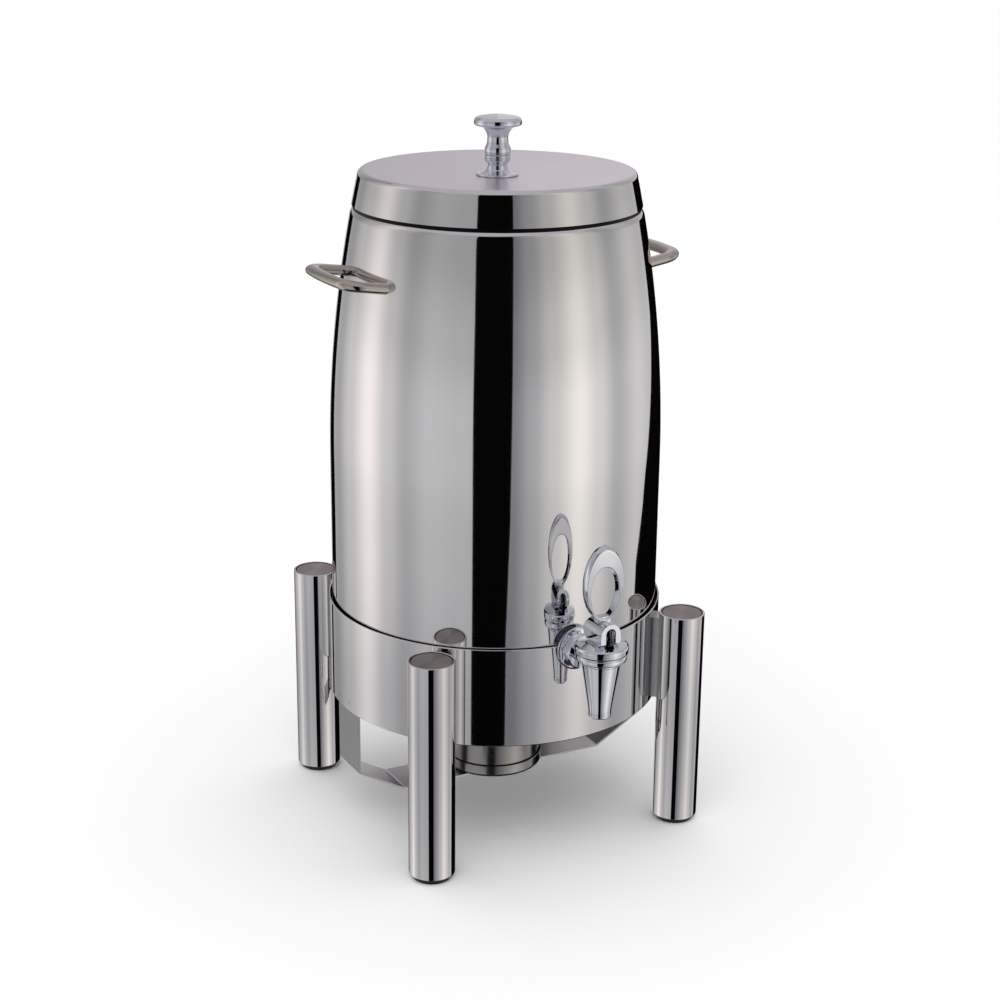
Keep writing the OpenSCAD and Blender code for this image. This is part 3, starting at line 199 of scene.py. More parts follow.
def turned_steel():
    """Steel with lathe rings. Real rings are 0.1 mm apart; they are drawn coarser so that they show."""
    material, tree, output = new_material("stainless steel, turned")
    place = add_node(tree, "ShaderNodeAttribute", {"attribute_name": "disc_place"})
    waves = add_node(tree, "ShaderNodeTexWave",
                     {"wave_type": "RINGS", "rings_direction": "Z", "wave_profile": "SIN"},
                     {"Scale": 1 / (20 * RING_PITCH) * FULL_TURN / 2, "Distortion": 0.4,
                      "Detail": 2, "Detail Scale": 3},
                     {"Vector": place.outputs["Vector"]})
    bump = add_node(tree, "ShaderNodeBump", sockets={"Strength": 0.6, "Distance": 0.03 * mm},
                    links={"Height": waves.outputs["Fac"]})
    round_way = add_node(tree, "ShaderNodeTangent", {"direction_type": "UV_MAP", "uv_map": "disc_uv"})
    shader = add_node(tree, "ShaderNodeBsdfPrincipled",
                      sockets={"Base Color": linear("#ACA4A1"), "Metallic": 1, "Roughness": 0.36,
                               "Anisotropic": 0.95},
                      links={"Normal": bump.outputs["Normal"], "Tangent": round_way.outputs["Tangent"]})
    tree.links.new(shader.outputs["BSDF"], output.inputs["Surface"])
    return material


turned_disc = turned_steel()
print("rings every", RING_PITCH / mm, "mm")

# %% [markdown]
# ## Spinning round pieces
# Spinners press sheet metal over a turning former, and turners cut solid pieces on a lathe. Blender's
# spin operator works the same way: it sweeps an outline round an axis. An outline here is a list of
# (radius, height) pairs in millimetres. `arc` rounds an edge, and `soften` rounds every corner.

# %% Outlines
def arc(centre_r, centre_z, radius, start, end, steps=8):
    """Points of an arc between two angles in degrees."""
    points = []
    for i in range(steps + 1):
        angle = math.radians(start + (end - start) * i / steps)
        points.append((centre_r + radius * math.cos(angle), centre_z + radius * math.sin(angle)))
    return points


def soften(points, radius, steps=3, closed=True):
    """The outline with each corner replaced by a short curve that starts `radius` before it."""
    rounded = []
    count = len(points)
    for i, corner in enumerate(points):
        if not closed and i in (0, count - 1):
            rounded.append(corner)
            continue
        here = Vector(corner)
        before = Vector(points[i - 1])
        after = Vector(points[(i + 1) % count])
        start = here + (before - here).normalized() * min(radius, (before - here).length * 0.45)
        end = here + (after - here).normalized() * min(radius, (after - here).length * 0.45)
        for k in range(steps + 1):
            t = k / steps
            point = start * (1 - t) ** 2 + here * 2 * t * (1 - t) + end * t * t
            rounded.append((point.x, point.y))
    return rounded


def spin_outline(bm, outline, steps=96, closed=True):
    """Spins an outline of (radius, height) in millimetres round Z. An open one ends on the axis."""
    verts = [bm.verts.new((r * mm, 0, z * mm)) for r, z in outline]
    edges = [bm.edges.new(pair) for pair in zip(verts, verts[1:])]
    if closed:
        edges.append(bm.edges.new((verts[-1], verts[0])))
    bmesh.ops.spin(bm, geom=verts + edges, cent=(0, 0, 0), axis=(0, 0, 1), angle=FULL_TURN,
                   steps=steps, use_merge=True)
    return bm


print("a quarter round edge:", arc(0, 0, 1, 0, 90, 2))

# %% [markdown]
# ## Finishing a mesh
# Every new piece ends the same way: doubles are merged, normals point outwards, and edges sharper than
# a limit stay sharp while the rest shade smoothly. On a mirror the Weighted Normal modifier matters:
# it lets the big wall, not the small rounded edge beside it, decide which way the surface faces.

# %% Finish
def to_object(bm, name, material=None):
    """A new object in the scene with the bmesh's faces. The bmesh is freed."""
    mesh = bpy.data.meshes.new(name)
    bm.to_mesh(mesh)
    bm.free()
    if material is not None:
        mesh.materials.append(material)
    piece = bpy.data.objects.new(name, mesh)
    bpy.context.scene.collection.objects.link(piece)
    return piece


def finish(bm, name, material, body, stands_for, place=None, sharp=38):
    """Turns a bmesh into a finished piece that rides on a body and replaces CAD nodes."""
    bmesh.ops.remove_doubles(bm, verts=bm.verts, dist=0.002 * mm)
    bmesh.ops.dissolve_degenerate(bm, edges=bm.edges, dist=0.001 * mm)
    bmesh.ops.recalc_face_normals(bm, faces=bm.faces)
    if place is not None:
        bmesh.ops.transform(bm, matrix=place, verts=bm.verts)
    for face in bm.faces:
        face.smooth = True
    for edge in bm.edges:
        edge.smooth = edge.calc_face_angle(0) < math.radians(sharp)
    piece = to_object(bm, name, material)
    weights = piece.modifiers.new("Weighted Normal", "WEIGHTED_NORMAL")
    weights.mode = "FACE_AREA"
    weights.keep_sharp = True
    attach(piece, body)
    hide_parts(*stands_for)
    print(name, "faces:", len(piece.data.polygons))
    return piece


def merged_copy(node):
    """A bmesh of a CAD node, whose loose triangles are merged so that they can shade smoothly."""
    bm = bmesh.new()
    bm.from_mesh(nodes[node].data)
    bmesh.ops.remove_doubles(bm, verts=bm.verts, dist=0.001 * mm)
    return bm


# %% [markdown]
# ## The barrel
# The barrel is one sheet, spun to a long even curve. Its side is straight up to the middle and then
# leans in along an arc of more than a metre, and its foot turns in to a flat flange. A mirror shows the
# smallest kink, so the outline gets a point every few millimetres and the spin 256 steps. At the top
# the sheet is rolled in to a short lip under the vessel's rim.

# %% Barrel
BODY_R = 138.7
BODY_Z = 151
BODY_TOP = 521
BULGE_Z = 315
BULGE_R = 1075
SHEET_T = 1
FOOT_BEND_R = 2
FLANGE_R = 119.7
FINE_STEPS = 256


def barrel_r(z):
    """Outside radius of the barrel at a height."""
    if z <= BULGE_Z:
        return BODY_R
    return BODY_R - BULGE_R + math.sqrt(BULGE_R ** 2 - (z - BULGE_Z) ** 2)


def heights(start, end, count):
    """Evenly spaced heights."""
    return [start + (end - start) * i / count for i in range(count + 1)]


LIP_H = 4.6
LIP_R = 9
LIP_TILT = 46
lip_z = BODY_TOP - LIP_H
lip_slope = math.degrees(math.asin((lip_z - BULGE_Z) / BULGE_R))
lip_middle_r = barrel_r(lip_z) - LIP_R * math.cos(math.radians(lip_slope))
lip_middle_z = lip_z - LIP_R * math.sin(math.radians(lip_slope))
foot_z = BODY_Z + FOOT_BEND_R
side_heights = heights(foot_z, BULGE_Z, 12) + heights(BULGE_Z, lip_z, 40)[1:]
outer = [(barrel_r(z), z) for z in side_heights]
outer += arc(lip_middle_r, lip_middle_z, LIP_R, lip_slope, LIP_TILT, 8)[1:]
inner = [(r - SHEET_T, z) for r, z in reversed(outer)]
bend_middle_r = BODY_R - FOOT_BEND_R
outline = (arc(bend_middle_r, foot_z, FOOT_BEND_R, -90, 0, 6)[:-1] + outer + inner
           + arc(bend_middle_r, foot_z, FOOT_BEND_R - SHEET_T, 0, -90, 4)[1:]
           + [(FLANGE_R, BODY_Z + SHEET_T), (FLANGE_R, BODY_Z)])
finish(spin_outline(bmesh.new(), outline, FINE_STEPS), "barrel", mirror_steel, "urn",
       ["barrel_shell"])

# %% [markdown]
# ## The ring
# The barrel stands in a deep ring. Its lower edge is rolled round a wire and shows as a bright bead.
# At the tap the ring is notched from above, behind the round cover plate, so that the urn can be
# lifted out. The notch is cut with a Boolean modifier, whose result is then kept as the mesh.

# %% Ring
RING_R = 142
RING_Z = 107.5
RING_TOP = 191.5
RING_T = 1.5
RING_ROWS = (125, 150, 170)
BEAD_R = 1.2
EDGE_R = 0.75
TAP_Z = 188
NOTCH_R = 15.2
NOTCH_START = 125
NOTCH_DEPTH = 30

# The bead ends where its circle meets the ring's inner face, 255.5 degrees round from outside.
outline = arc(RING_R - BEAD_R, RING_Z + BEAD_R, BEAD_R, 0, -255.5, 14)
outline += [(RING_R - RING_T, z) for z in RING_ROWS]
outline += arc(RING_R - EDGE_R, RING_TOP - EDGE_R, EDGE_R, 180, 0, 12)
outline += [(RING_R, z) for z in reversed(RING_ROWS)]
ring_bm = spin_outline(bmesh.new(), outline, FINE_STEPS)


def boolean(bm, tool_bm, operation):
    """The first bmesh after a Boolean modifier with the second. The helper objects are removed."""
    target = to_object(bm, "cutting target")
    tool = to_object(tool_bm, "cutting tool")
    modifier = target.modifiers.new("Cut", "BOOLEAN")
    modifier.operation = operation
    modifier.solver = "EXACT"
    modifier.object = tool
    bpy.context.view_layer.update()
    result = bmesh.new()
    result.from_object(target, bpy.context.evaluated_depsgraph_get())
    bpy.data.objects.remove(target)
    bpy.data.objects.remove(tool)
    return result


def prism(points, depth, matrix):
    """A flat outline in millimetres, pushed out to a solid along its Z, then placed."""
    bm = bmesh.new()
    face = bm.faces.new([bm.verts.new((x * mm, y * mm, 0)) for x, y in points])
    grown = bmesh.ops.extrude_face_region(bm, geom=[face])["geom"]
    moved = [v for v in grown if isinstance(v, bmesh.types.BMVert)]
    bmesh.ops.translate(bm, verts=moved, vec=(0, 0, depth * mm))
    bmesh.ops.recalc_face_normals(bm, faces=bm.faces)
    bmesh.ops.transform(bm, matrix=matrix, verts=bm.verts)
    return bm


# Local Z of this matrix points to -Y, out of the barrel along the tap's axis.
TAP_AXIS = Matrix.Translation((0, 0, TAP_Z * mm)) @ Matrix.Rotation(math.pi / 2, 4, "X")
notch = arc(0, 0, NOTCH_R, 180, 360, 24) + [(NOTCH_R, 10), (-NOTCH_R, 10)]
notch_place = TAP_AXIS @ Matrix.Translation((0, 0, NOTCH_START * mm))
ring_bm = boolean(ring_bm, prism(notch, NOTCH_DEPTH, notch_place), "DIFFERENCE")
ring = finish(ring_bm, "base_ring_polished", mirror_steel, "stand", ["base_ring"])

# %% [markdown]
# A cut face borrows its shading from its corners, so the big faces beside the notch would shade like a
# dented mirror. The wall's true direction is known, straight out from the axis, so it is written into
# the mesh as custom normals.

# %% True normals for the ring
ring.modifiers.clear()
ring_mesh = ring.data
normals = [Vector(corner.vector) for corner in ring_mesh.corner_normals]
WALL_FACING = 0.99
WALL_AREA = 10 * mm * mm
for polygon in ring_mesh.polygons:
    outward = Vector((polygon.center.x, polygon.center.y, 0)).normalized()
    facing = polygon.normal.dot(outward)
    if abs(facing) < WALL_FACING or polygon.area < WALL_AREA:
        continue
    for corner in polygon.loop_indices:
        vert = ring_mesh.vertices[ring_mesh.loops[corner].vertex_index].co
        radial = Vector((vert.x, vert.y, 0)).normalized()
        normals[corner] = radial if facing > 0 else -radial
ring_mesh.normals_split_custom_set(normals)
print("ring corners:", len(normals))

# %% [markdown]
# ## The lid
# The lid's side carries on the barrel's curve, turns over a soft edge and dips to the knob, so that
# the knob's foot stands in a shallow dish. The nearly level faces get the satin finish, and the edge
# and the side stay mirror bright. Under the lid a liner ring drops into the vessel's mouth.

# %% Lid
LID_Z0 = 524.4
LID_TOP = 551.9
LID_EDGE_R = 5
LID_DISH = 5
KNOB_FOOT_R = 17.5
SCREW_HOLE_R = 2.6
LEVEL_ENOUGH = 0.985
KNOB_Z = LID_TOP - LID_DISH
lid_slope = math.degrees(math.asin((LID_TOP - BULGE_Z) / BULGE_R))
lid_flat_r = barrel_r(LID_TOP - LID_EDGE_R) - LID_EDGE_R


def lid_face(r):
    """Height of the lid's upper face."""
    share = max(0, r - KNOB_FOOT_R) / (lid_flat_r - KNOB_FOOT_R)
    return LID_TOP - LID_DISH * (1 - share ** 2)


edge_z = LID_TOP - LID_EDGE_R
side = [(barrel_r(z), z) for z in heights(LID_Z0, edge_z, 8)]
edge = arc(lid_flat_r, edge_z, LID_EDGE_R, lid_slope, 95, 14)
face_r = [lid_flat_r - (lid_flat_r - KNOB_FOOT_R) * i / 32 for i in range(1, 33)] + [SCREW_HOLE_R]
face = [(r, lid_face(r)) for r in face_r]
lid_outline = side + edge + face
under = [(SCREW_HOLE_R, KNOB_Z - SHEET_T)]
under += [(r, lid_face(r) - SHEET_T) for r in reversed(face_r[:-1])]
under += arc(lid_flat_r, edge_z, LID_EDGE_R - SHEET_T, 90, lid_slope, 8)
under += [(r - SHEET_T, z) for r, z in reversed(side)]
lid = finish(spin_outline(bmesh.new(), lid_outline + under, FINE_STEPS), "lid", mirror_steel, "lid",
             ["lid_shell"])
lid.data.materials.append(satin_top)
for polygon in lid.data.polygons:
    if polygon.normal.z > LEVEL_ENOUGH:
        polygon.material_index = 1

# %% [markdown]
# ## The vessel's rim and the liner
# Between barrel and lid, by the vessel's rolled rim, the seam shows as a fine dark line of shadow. Vessel
# and liner start as merged copies of the CAD meshes, so that they shade as round pieces. The vessel's rim
# is drawn in until it stands a little behind the barrel's lip, and the faces in the seam get painted
# shade.

# %% Vessel and liner
RIM_SETBACK = 0.4
RIM_R = outer[-1][0] - RIM_SETBACK
SEAM_LOW = BODY_TOP - 1
SEAM_DEPTH = 12
vessel_bm = merged_copy("inner_vessel")
for vert in vessel_bm.verts:
    if vert.co.xy.length > RIM_R * mm:
        vert.co.xy *= RIM_R * mm / vert.co.xy.length
vessel = finish(vessel_bm, "vessel", satin_vessel, "urn", ["inner_vessel"])
liner = finish(merged_copy("lid_liner"), "liner", satin_vessel, "lid", ["lid_liner"])
# The seam's faces get the near-black steel: painted shade for the shadow in the gap.
for piece in (vessel, liner):
    mesh = piece.data
    mesh.materials.append(painted_shade_steel)
    for polygon in mesh.polygons:
        reach = max(mesh.vertices[i].co.xy.length for i in polygon.vertices)
        if polygon.center.z > SEAM_LOW * mm and reach > (RIM_R - SEAM_DEPTH) * mm:
            polygon.material_index = 1
print("rim drawn in to", RIM_R)

# %% [markdown]
# ## The knob
# The knob is turned from brass in two halves that meet in a fine groove, and chrome plated. A foot like
# a coin, a waist, a band and a mushroom head: every edge is broken a little, which catches the light.

# %% Knob
KNOB_SPLIT = 16.5
foot_outline = [(SCREW_HOLE_R, 0), (16.2, 0)] + arc(16.6, 0.9, 0.9, -60, 90, 8)
foot_outline += [(14.8, 1.35), (11.6, 2.7), (8.9, 4.5), (8, 7.4), (8, 9), (10.4, 11.8), (10.4, 16)]
foot_outline += [(9.9, KNOB_SPLIT), (SCREW_HOLE_R, KNOB_SPLIT)]
KNOB_PLACE = Matrix.Translation((0, 0, KNOB_Z * mm))
finish(spin_outline(bmesh.new(), soften(foot_outline, 0.7), 128), "knob_foot_plated", chrome_plate, "lid",
       ["knob_foot"], KNOB_PLACE)

stalk = [(9.9, KNOB_SPLIT), (10.4, 17), (10.4, 22), (8.55, 26), (8.3, 31), (9.2, 34), (11.5, 37.5)]
cap = [(13.9, 38.9), (17.1, 39.5), (18.8, 40.2), (19.3, 41.4), (19.3, 43.2), (18.9, 44.9), (17.1, 46.5),
       (8.7, 47.9)]
head_outline = soften([(0, KNOB_SPLIT)] + stalk + cap + [(0, 48)], 1.1, 4, False)
finish(spin_outline(bmesh.new(), head_outline, 128, closed=False), "knob_head_plated", chrome_plate, "lid",
       ["knob_head"], KNOB_PLACE)

# %% [markdown]
# ## Legs
# Each leg is a polished tube with a floor, a black rubber foot under it and a turned disc let into its
# top, with a thin groove round the disc. Tube and disc are turned pieces, so both are spun.

# %% Outlines of leg and disc
LEG_R = 19
LEG_BORE = 17.5
LEG_H = 189.5
LEG_FLOOR_Z = 3
LEG_FLOOR_T = 3
LEG_BEND_R = 2.5
FLOOR_HOLE_R = 11.05
DISC_R = 16.5
DISC_TOP = 189.1
DISC_LOW = 184.1
DISC_STEP = 186.6
GROOVE_SEEN_Z = 188
rim = arc(LEG_R - 0.5, LEG_H - 0.5, 0.5, 0, 90, 5) + arc(LEG_BORE + 0.3, LEG_H - 0.3, 0.3, 90, 180, 4)
floor_top = LEG_FLOOR_Z + LEG_FLOOR_T
leg_outline = arc(LEG_R - LEG_BEND_R, LEG_FLOOR_Z + LEG_BEND_R, LEG_BEND_R, -90, 0, 8) + rim
leg_outline += [(LEG_BORE, floor_top), (FLOOR_HOLE_R, floor_top), (FLOOR_HOLE_R, LEG_FLOOR_Z)]
disc_fit_r = LEG_BORE - 0.05
disc_outline = [(0, DISC_LOW), (disc_fit_r, DISC_LOW), (disc_fit_r, DISC_STEP), (DISC_R, DISC_STEP),
                (DISC_R, DISC_TOP - 0.3), (DISC_R - 0.3, DISC_TOP), (0, DISC_TOP)]
print("points of the leg's outline:", len(leg_outline))


# %% [markdown]
# All four legs are alike, so one loop makes them. Each stands where its CAD node stands. Its disc
# stores every corner's place for the lathe rings, and the faces in the groove get painted shade.

# %% Four legs
def leg_place(number):
    """Where a leg stands, as its CAD node says."""
    low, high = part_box(f"leg_{number}")
    middle = (low + high) / 2
    return Matrix.Translation((middle.x, middle.y, 0))


def mark_disc(piece, place):
    """Stores each corner's place on the disc, in metres, and a flat UV map for the lathe's direction."""
    mesh = piece.data
    own = mesh.attributes.new("disc_place", "FLOAT_VECTOR", "POINT")
    uv = mesh.uv_layers.new(name="disc_uv")
    inverse = place.inverted()
    for vert in mesh.vertices:
        own.data[vert.index].vector = inverse @ vert.co
    for polygon in mesh.polygons:
        middle = inverse @ polygon.center
        base = math.atan2(middle.y, middle.x)
        for corner in polygon.loop_indices:
            local = inverse @ mesh.vertices[mesh.loops[corner].vertex_index].co
            turn = math.atan2(local.y, local.x) if local.xy.length > 0.01 * mm else base
            turn = base + math.remainder(turn - base, FULL_TURN)
            uv.data[corner].uv = (turn / FULL_TURN, local.xy.length / (DISC_R * mm))


for number in range(1, 5):
    place = leg_place(number)
    finish(spin_outline(bmesh.new(), leg_outline, 128), f"leg_tube_{number}", mirror_steel, "stand",
           [f"leg_{number}"], place)
    disc = finish(spin_outline(bmesh.new(), disc_outline, 96, closed=False), f"leg_disc_{number}",
                  turned_disc, "stand", [f"leg_cap_{number}"], place)
    mark_disc(disc, place)
    # The groove's faces get the near-black steel: painted shade for the shadow in the groove.
    disc.data.materials.append(painted_shade_steel)
    for polygon in disc.data.polygons:
        beside = (polygon.center - place.translation).xy.length > DISC_R * mm
        if beside or polygon.center.z < GROOVE_SEEN_Z * mm:
            polygon.material_index = 1

# %% [markdown]
# ## Handles
# Each handle is a cast loop of oval bar. The bar's section is an oval made by flattening a circle.
# Extruding it makes an arm, spinning it round a bend's centre makes the corner and spinning it round
# a far centre makes the slightly bowed grip. A mirror copy closes the loop.

# %% Handles
HANDLE_Z = 472
HANDLE_HALF = 40.25
HANDLE_ARM_Y = 40.75
HANDLE_BEND = 14.5
HANDLE_BOW = 4
HANDLE_REACH = 158
BAR_W = 11.5
BAR_H = 8.6
ROOT_X = -4
handle_tilt = math.asin((HANDLE_Z - BULGE_Z) / BULGE_R)
handle_wall_x = math.sqrt(barrel_r(HANDLE_Z) ** 2 - HANDLE_ARM_Y ** 2)
mid_x = (HANDLE_REACH - handle_wall_x) / math.cos(handle_tilt) - BAR_W / 2
bow_r = (HANDLE_HALF ** 2 + HANDLE_BOW ** 2) / (2 * HANDLE_BOW)
corner_y = HANDLE_HALF - HANDLE_BEND
grip_angle = math.asin(corner_y / (bow_r - HANDLE_BEND))
corner_x = mid_x - bow_r + (bow_r - HANDLE_BEND) * math.cos(grip_angle)


def sweep(bm, geom, centre, angle, steps):
    """Spins the open end of a bar round a vertical axis and returns its new end."""
    last = bmesh.ops.spin(bm, geom=geom, cent=Vector(centre) * mm, axis=(0, 0, 1), angle=angle,
                          steps=steps)["geom_last"]
    return [g for g in last if not isinstance(g, bmesh.types.BMFace)]


def handle_mesh():
    """One handle in its own frame: X out of the wall, Z up, the grip along Y."""
    bm = bmesh.new()
    section = bmesh.ops.create_circle(bm, cap_ends=False, radius=1, segments=32)["verts"]
    oval = (Matrix.Translation((corner_x * mm, HANDLE_HALF * mm, 0))
            @ Matrix.Rotation(math.pi / 2, 4, "Y")
            @ Matrix.Diagonal((BAR_H / 2 * mm, BAR_W / 2 * mm, 1, 1)))
    bmesh.ops.transform(bm, matrix=oval, verts=section)
    start = list(bm.verts) + list(bm.edges)
    start_edges = list(bm.edges)
    end = sweep(bm, start, (corner_x, corner_y, 0), grip_angle - math.pi / 2, 24)
    sweep(bm, end, (mid_x - bow_r, 0, 0), -grip_angle, 16)
    arm = bmesh.ops.extrude_edge_only(bm, edges=start_edges)["geom"]
    arm_verts = [g for g in arm if isinstance(g, bmesh.types.BMVert)]
    shift = ((ROOT_X - corner_x) * mm, (HANDLE_ARM_Y - HANDLE_HALF) * mm, 0)
    bmesh.ops.translate(bm, verts=arm_verts, vec=shift)
    bmesh.ops.contextual_create(bm, geom=[g for g in arm if isinstance(g, bmesh.types.BMEdge)
                                          and all(v in arm_verts for v in g.verts)])
    bmesh.ops.mirror(bm, geom=list(bm.verts) + list(bm.edges) + list(bm.faces), axis="Y",
                     merge_dist=0.01 * mm)
    return bm


for name, turn in (("right", 0), ("left", math.pi)):
    place = (Matrix.Rotation(turn, 4, "Z")
             @ Matrix.Translation((handle_wall_x * mm, 0, HANDLE_Z * mm))
             @ Matrix.Rotation(-handle_tilt, 4, "Y"))
    finish(handle_mesh(), f"handle_cast_{name}", cast_steel, "urn",
           [f"handle_{name}"], place)

# %% [markdown]
# ## The tap
# The tap is chrome-plated brass. A round plate covers the ring's notch, a hexagonal collar clamps the
# shank, and the valve hangs on a short neck. Everything round is spun, upright round the valve's axis
# or lying round the shank's. The collar's flats are already right in the CAD mesh, so it is reused.

# %% Cover plate and collar
TAP_REACH = 181
SHANK_R = 6.65
PLATE_START = 142.4
VALVE_PLACE = Matrix.Translation((0, -TAP_REACH * mm, 0))
plate_outline = [(SHANK_R, PLATE_START), (18, PLATE_START), (18, 144), (16.4, 144.8), (13, 145.6),
                 (SHANK_R, 145.6)]
finish(spin_outline(bmesh.new(), soften(plate_outline, 0.6), 96), "cover_plate", chrome_plate, "urn",
       ["tap_cover_plate"], TAP_AXIS)
finish(merged_copy("tap_collar"), "collar", chrome_plate, "urn", ["tap_collar"],
       sharp=25)


# %% [markdown]
# The valve's body is a bell that narrows to the spout, and a neck that carries it. They are spun round
# different axes and then joined in one mesh. A Boolean union would remove the faces that cross
# inside, but nobody sees them.

# %% Valve body
def join(bm, other):
    """Adds the faces of another bmesh, which is freed."""
    mesh = bpy.data.meshes.new("joined part")
    other.to_mesh(mesh)
    other.free()
    bm.from_mesh(mesh)
    bpy.data.meshes.remove(mesh)


SPOUT_Z = 144
SHOULDER_Z = 190
bell = [(6.8, SPOUT_Z + 1.2), (7.3, SPOUT_Z), (8.4, 144.2), (9.2, 145), (9.4, 146.5), (9.3, 148.5)]
bell += [(9.55, 151), (10, 154.2), (10.8, 159.5), (12, 167), (13.1, 174), (14.25, 181)]
bell += [(15.7, SHOULDER_Z), (14.95, SHOULDER_Z), (14.95, 199), (11.5, 199), (11.5, 176.2), (6.8, 171.5)]
body_bm = spin_outline(bmesh.new(), soften(bell, 0.3, 3), 128)
bmesh.ops.transform(body_bm, matrix=VALVE_PLACE, verts=body_bm.verts)
neck = [(SHANK_R, 153.65), (8.2, 153.65), (8.2, 169), (SHANK_R, 169)]
neck_bm = spin_outline(bmesh.new(), soften(neck, 0.4), 64)
bmesh.ops.transform(neck_bm, matrix=TAP_AXIS, verts=neck_bm.verts)
join(body_bm, neck_bm)
finish(body_bm, "valve_body", chrome_plate, "urn", ["tap_body"])

# %% [markdown]
# The bonnet is a turned cap with two rings, screwed on the body. Its outline runs from the foot over
# both rings to the top and back down the bore, and `soften` gives its edges the slight roundness that
# polishing and plating leave.

# %% Bonnet
BONNET_TOP = 208.2
bonnet = [(15, SHOULDER_Z), (15.7, SHOULDER_Z), (16.1, 192.6)]
lower_ring = [(19.5, 193), (20.3, 193.8), (20.5, 195.4), (20.2, 197), (19.5, 197.8)]
upper_ring = [(19.5, 198.4), (20.9, 199), (21.5, 200.4), (21.5, 204), (21, 205.2), (20, 206.1)]
bonnet += lower_ring + upper_ring + [(12, BONNET_TOP), (3.2, BONNET_TOP)]
bonnet += [(3.2, 204.2), (11.5, 204.2), (11.5, 199.05), (15, 199.05)]
finish(spin_outline(bmesh.new(), soften(bonnet, 0.5, 4), 128), "bonnet", chrome_plate, "urn",
       ["tap_bonnet"], VALVE_PLACE)

# %% [markdown]
# ## The lever
# The lever is a flat ring on a slotted yoke. The ring starts as one ellipse, which is extruded from
# section to section: the wide face between hole and ridge is nearly flat, and the outside is narrow.
# Extruding keeps the hole's and the rim's ellipses true, although their middles lie at two heights.

# %% Ring of the lever
PIN_Z = 215.95
LOOP_Z0 = 225.75
LOOP_W = 34
LOOP_H = 61.5
HOLE_W = 25
HOLE_H = 42
LOOP_BASE = 2.4
RIDGE = 0.84
HOLE_DEPTH = 3.4
RIDGE_DEPTH = 4.3
RIM_DEPTH = 1.5


def ring_size(share):
    """Half width, half height and middle height of the ellipse between the hole (0) and the rim (1)."""
    width = HOLE_W + (LOOP_W - HOLE_W) * share
    height = HOLE_H + (LOOP_H - HOLE_H) * share
    middle = LOOP_Z0 + (LOOP_BASE + HOLE_H / 2) * (1 - share) + LOOP_H / 2 * share
    return width / 2 * mm, height / 2 * mm, middle * mm


# Shares across and millimetres deep don't mix in a length, so depths are scaled to shares first.
DEPTH_SCALE = 8
half_section = [(0, HOLE_DEPTH), (RIDGE, RIDGE_DEPTH), (1, RIM_DEPTH)]
ring_points = [(share, -depth) for share, depth in half_section] + half_section[::-1]
scaled = [(share, depth / DEPTH_SCALE) for share, depth in ring_points]
ring_section = [(share, depth * DEPTH_SCALE) for share, depth in soften(scaled, 0.1, 4)]
lever_bm = bmesh.new()
first_share, first_depth = ring_section[0]
half_w, half_h, middle_z = ring_size(first_share)
first_place = (Matrix.Translation((0, (first_depth - TAP_REACH) * mm, middle_z))
               @ Matrix.Rotation(math.pi / 2, 4, "X") @ Matrix.Diagonal((half_w, half_h, 1, 1)))
bmesh.ops.create_circle(lever_bm, cap_ends=False, radius=1, segments=128, matrix=first_place)
edges = list(lever_bm.edges)
for share, depth in ring_section[1:] + ring_section[:1]:
    grown = bmesh.ops.extrude_edge_only(lever_bm, edges=edges)["geom"]
    new_verts = {g for g in grown if isinstance(g, bmesh.types.BMVert)}
    edges = [g for g in grown if isinstance(g, bmesh.types.BMEdge)
             and all(v in new_verts for v in g.verts)]
    next_w, next_h, next_z = ring_size(share)
    for vert in new_verts:
        turn = math.atan2((vert.co.z - middle_z) / half_h, vert.co.x / half_w)
        vert.co = (next_w * math.cos(turn), (depth - TAP_REACH) * mm,
                   next_z + next_h * math.sin(turn))
    half_w, half_h, middle_z = next_w, next_h, next_z
bmesh.ops.remove_doubles(lever_bm, verts=lever_bm.verts, dist=0.001 * mm)
bmesh.ops.recalc_face_normals(lever_bm, faces=lever_bm.faces)
print("ring of the lever:", len(lever_bm.faces), "faces")

# %% [markdown]
# A workshop drawing shows the yoke from the front and from the side. Each view becomes a prism, and
# where the two prisms meet is the yoke. Its heel is a cam, which presses the stem up evenly.

# %% Front and side views
PIN_H = 7.6
CAM_LIFT = 8
YOKE_R = 8.8
YOKE_TOP = 10.2
YOKE_LOW = -14
SLOT_R = 4.4
SLOT_TOP = 6.8
SLOT_LOW = -20
PIN_HOLE_R = 1.55
LEVER_TRAVEL = 35
# The prisms reach well past the yoke, so that only their outlines shape it.
FRONT_DEPTH = 60
SIDE_WIDTH = 40
SLOT_DEPTH = 80


def cam_point(degrees):
    """Heel of the yoke, an involute, so that the lever lifts the stem evenly."""
    angle = math.radians(degrees)
    reach = PIN_H + CAM_LIFT * angle
    return (-reach * math.sin(angle) - CAM_LIFT * math.cos(angle),
            -reach * math.cos(angle) + CAM_LIFT * math.sin(angle))


def arch(radius, top, low):
    """A round-topped slot or tab, seen from the front."""
    return arc(0, top - radius, radius, 0, 180, 24) + [(-radius, low), (radius, low)]


def front_prism(points, depth, place):
    """A solid whose outline is seen from the front, centred in depth."""
    centred = Matrix.Translation((0, depth / 2 * mm, 0)) @ Matrix.Rotation(math.pi / 2, 4, "X")
    return prism(points, depth, place @ centred)


def side_prism(points, width, place):
    """A solid whose outline is seen from the side, centred in width."""
    # Columns send the outline's X to Y, its Y to Z, and its depth to X.
    side_view = Matrix(((0, 0, 1, 0), (1, 0, 0, 0), (0, 1, 0, 0), (0, 0, 0, 1)))
    return prism(points, width, place @ Matrix.Translation((-width / 2 * mm, 0, 0)) @ side_view)


def break_edges(bm, limit, offset, segments):
    """Bevels every edge that turns by more than a limit in degrees."""
    crisp = [e for e in bm.edges if e.calc_face_angle(0) > math.radians(limit)]
    bmesh.ops.bevel(bm, geom=crisp, affect="EDGES", offset=offset * mm, segments=segments, profile=0.5,
                    material=-1, clamp_overlap=True)


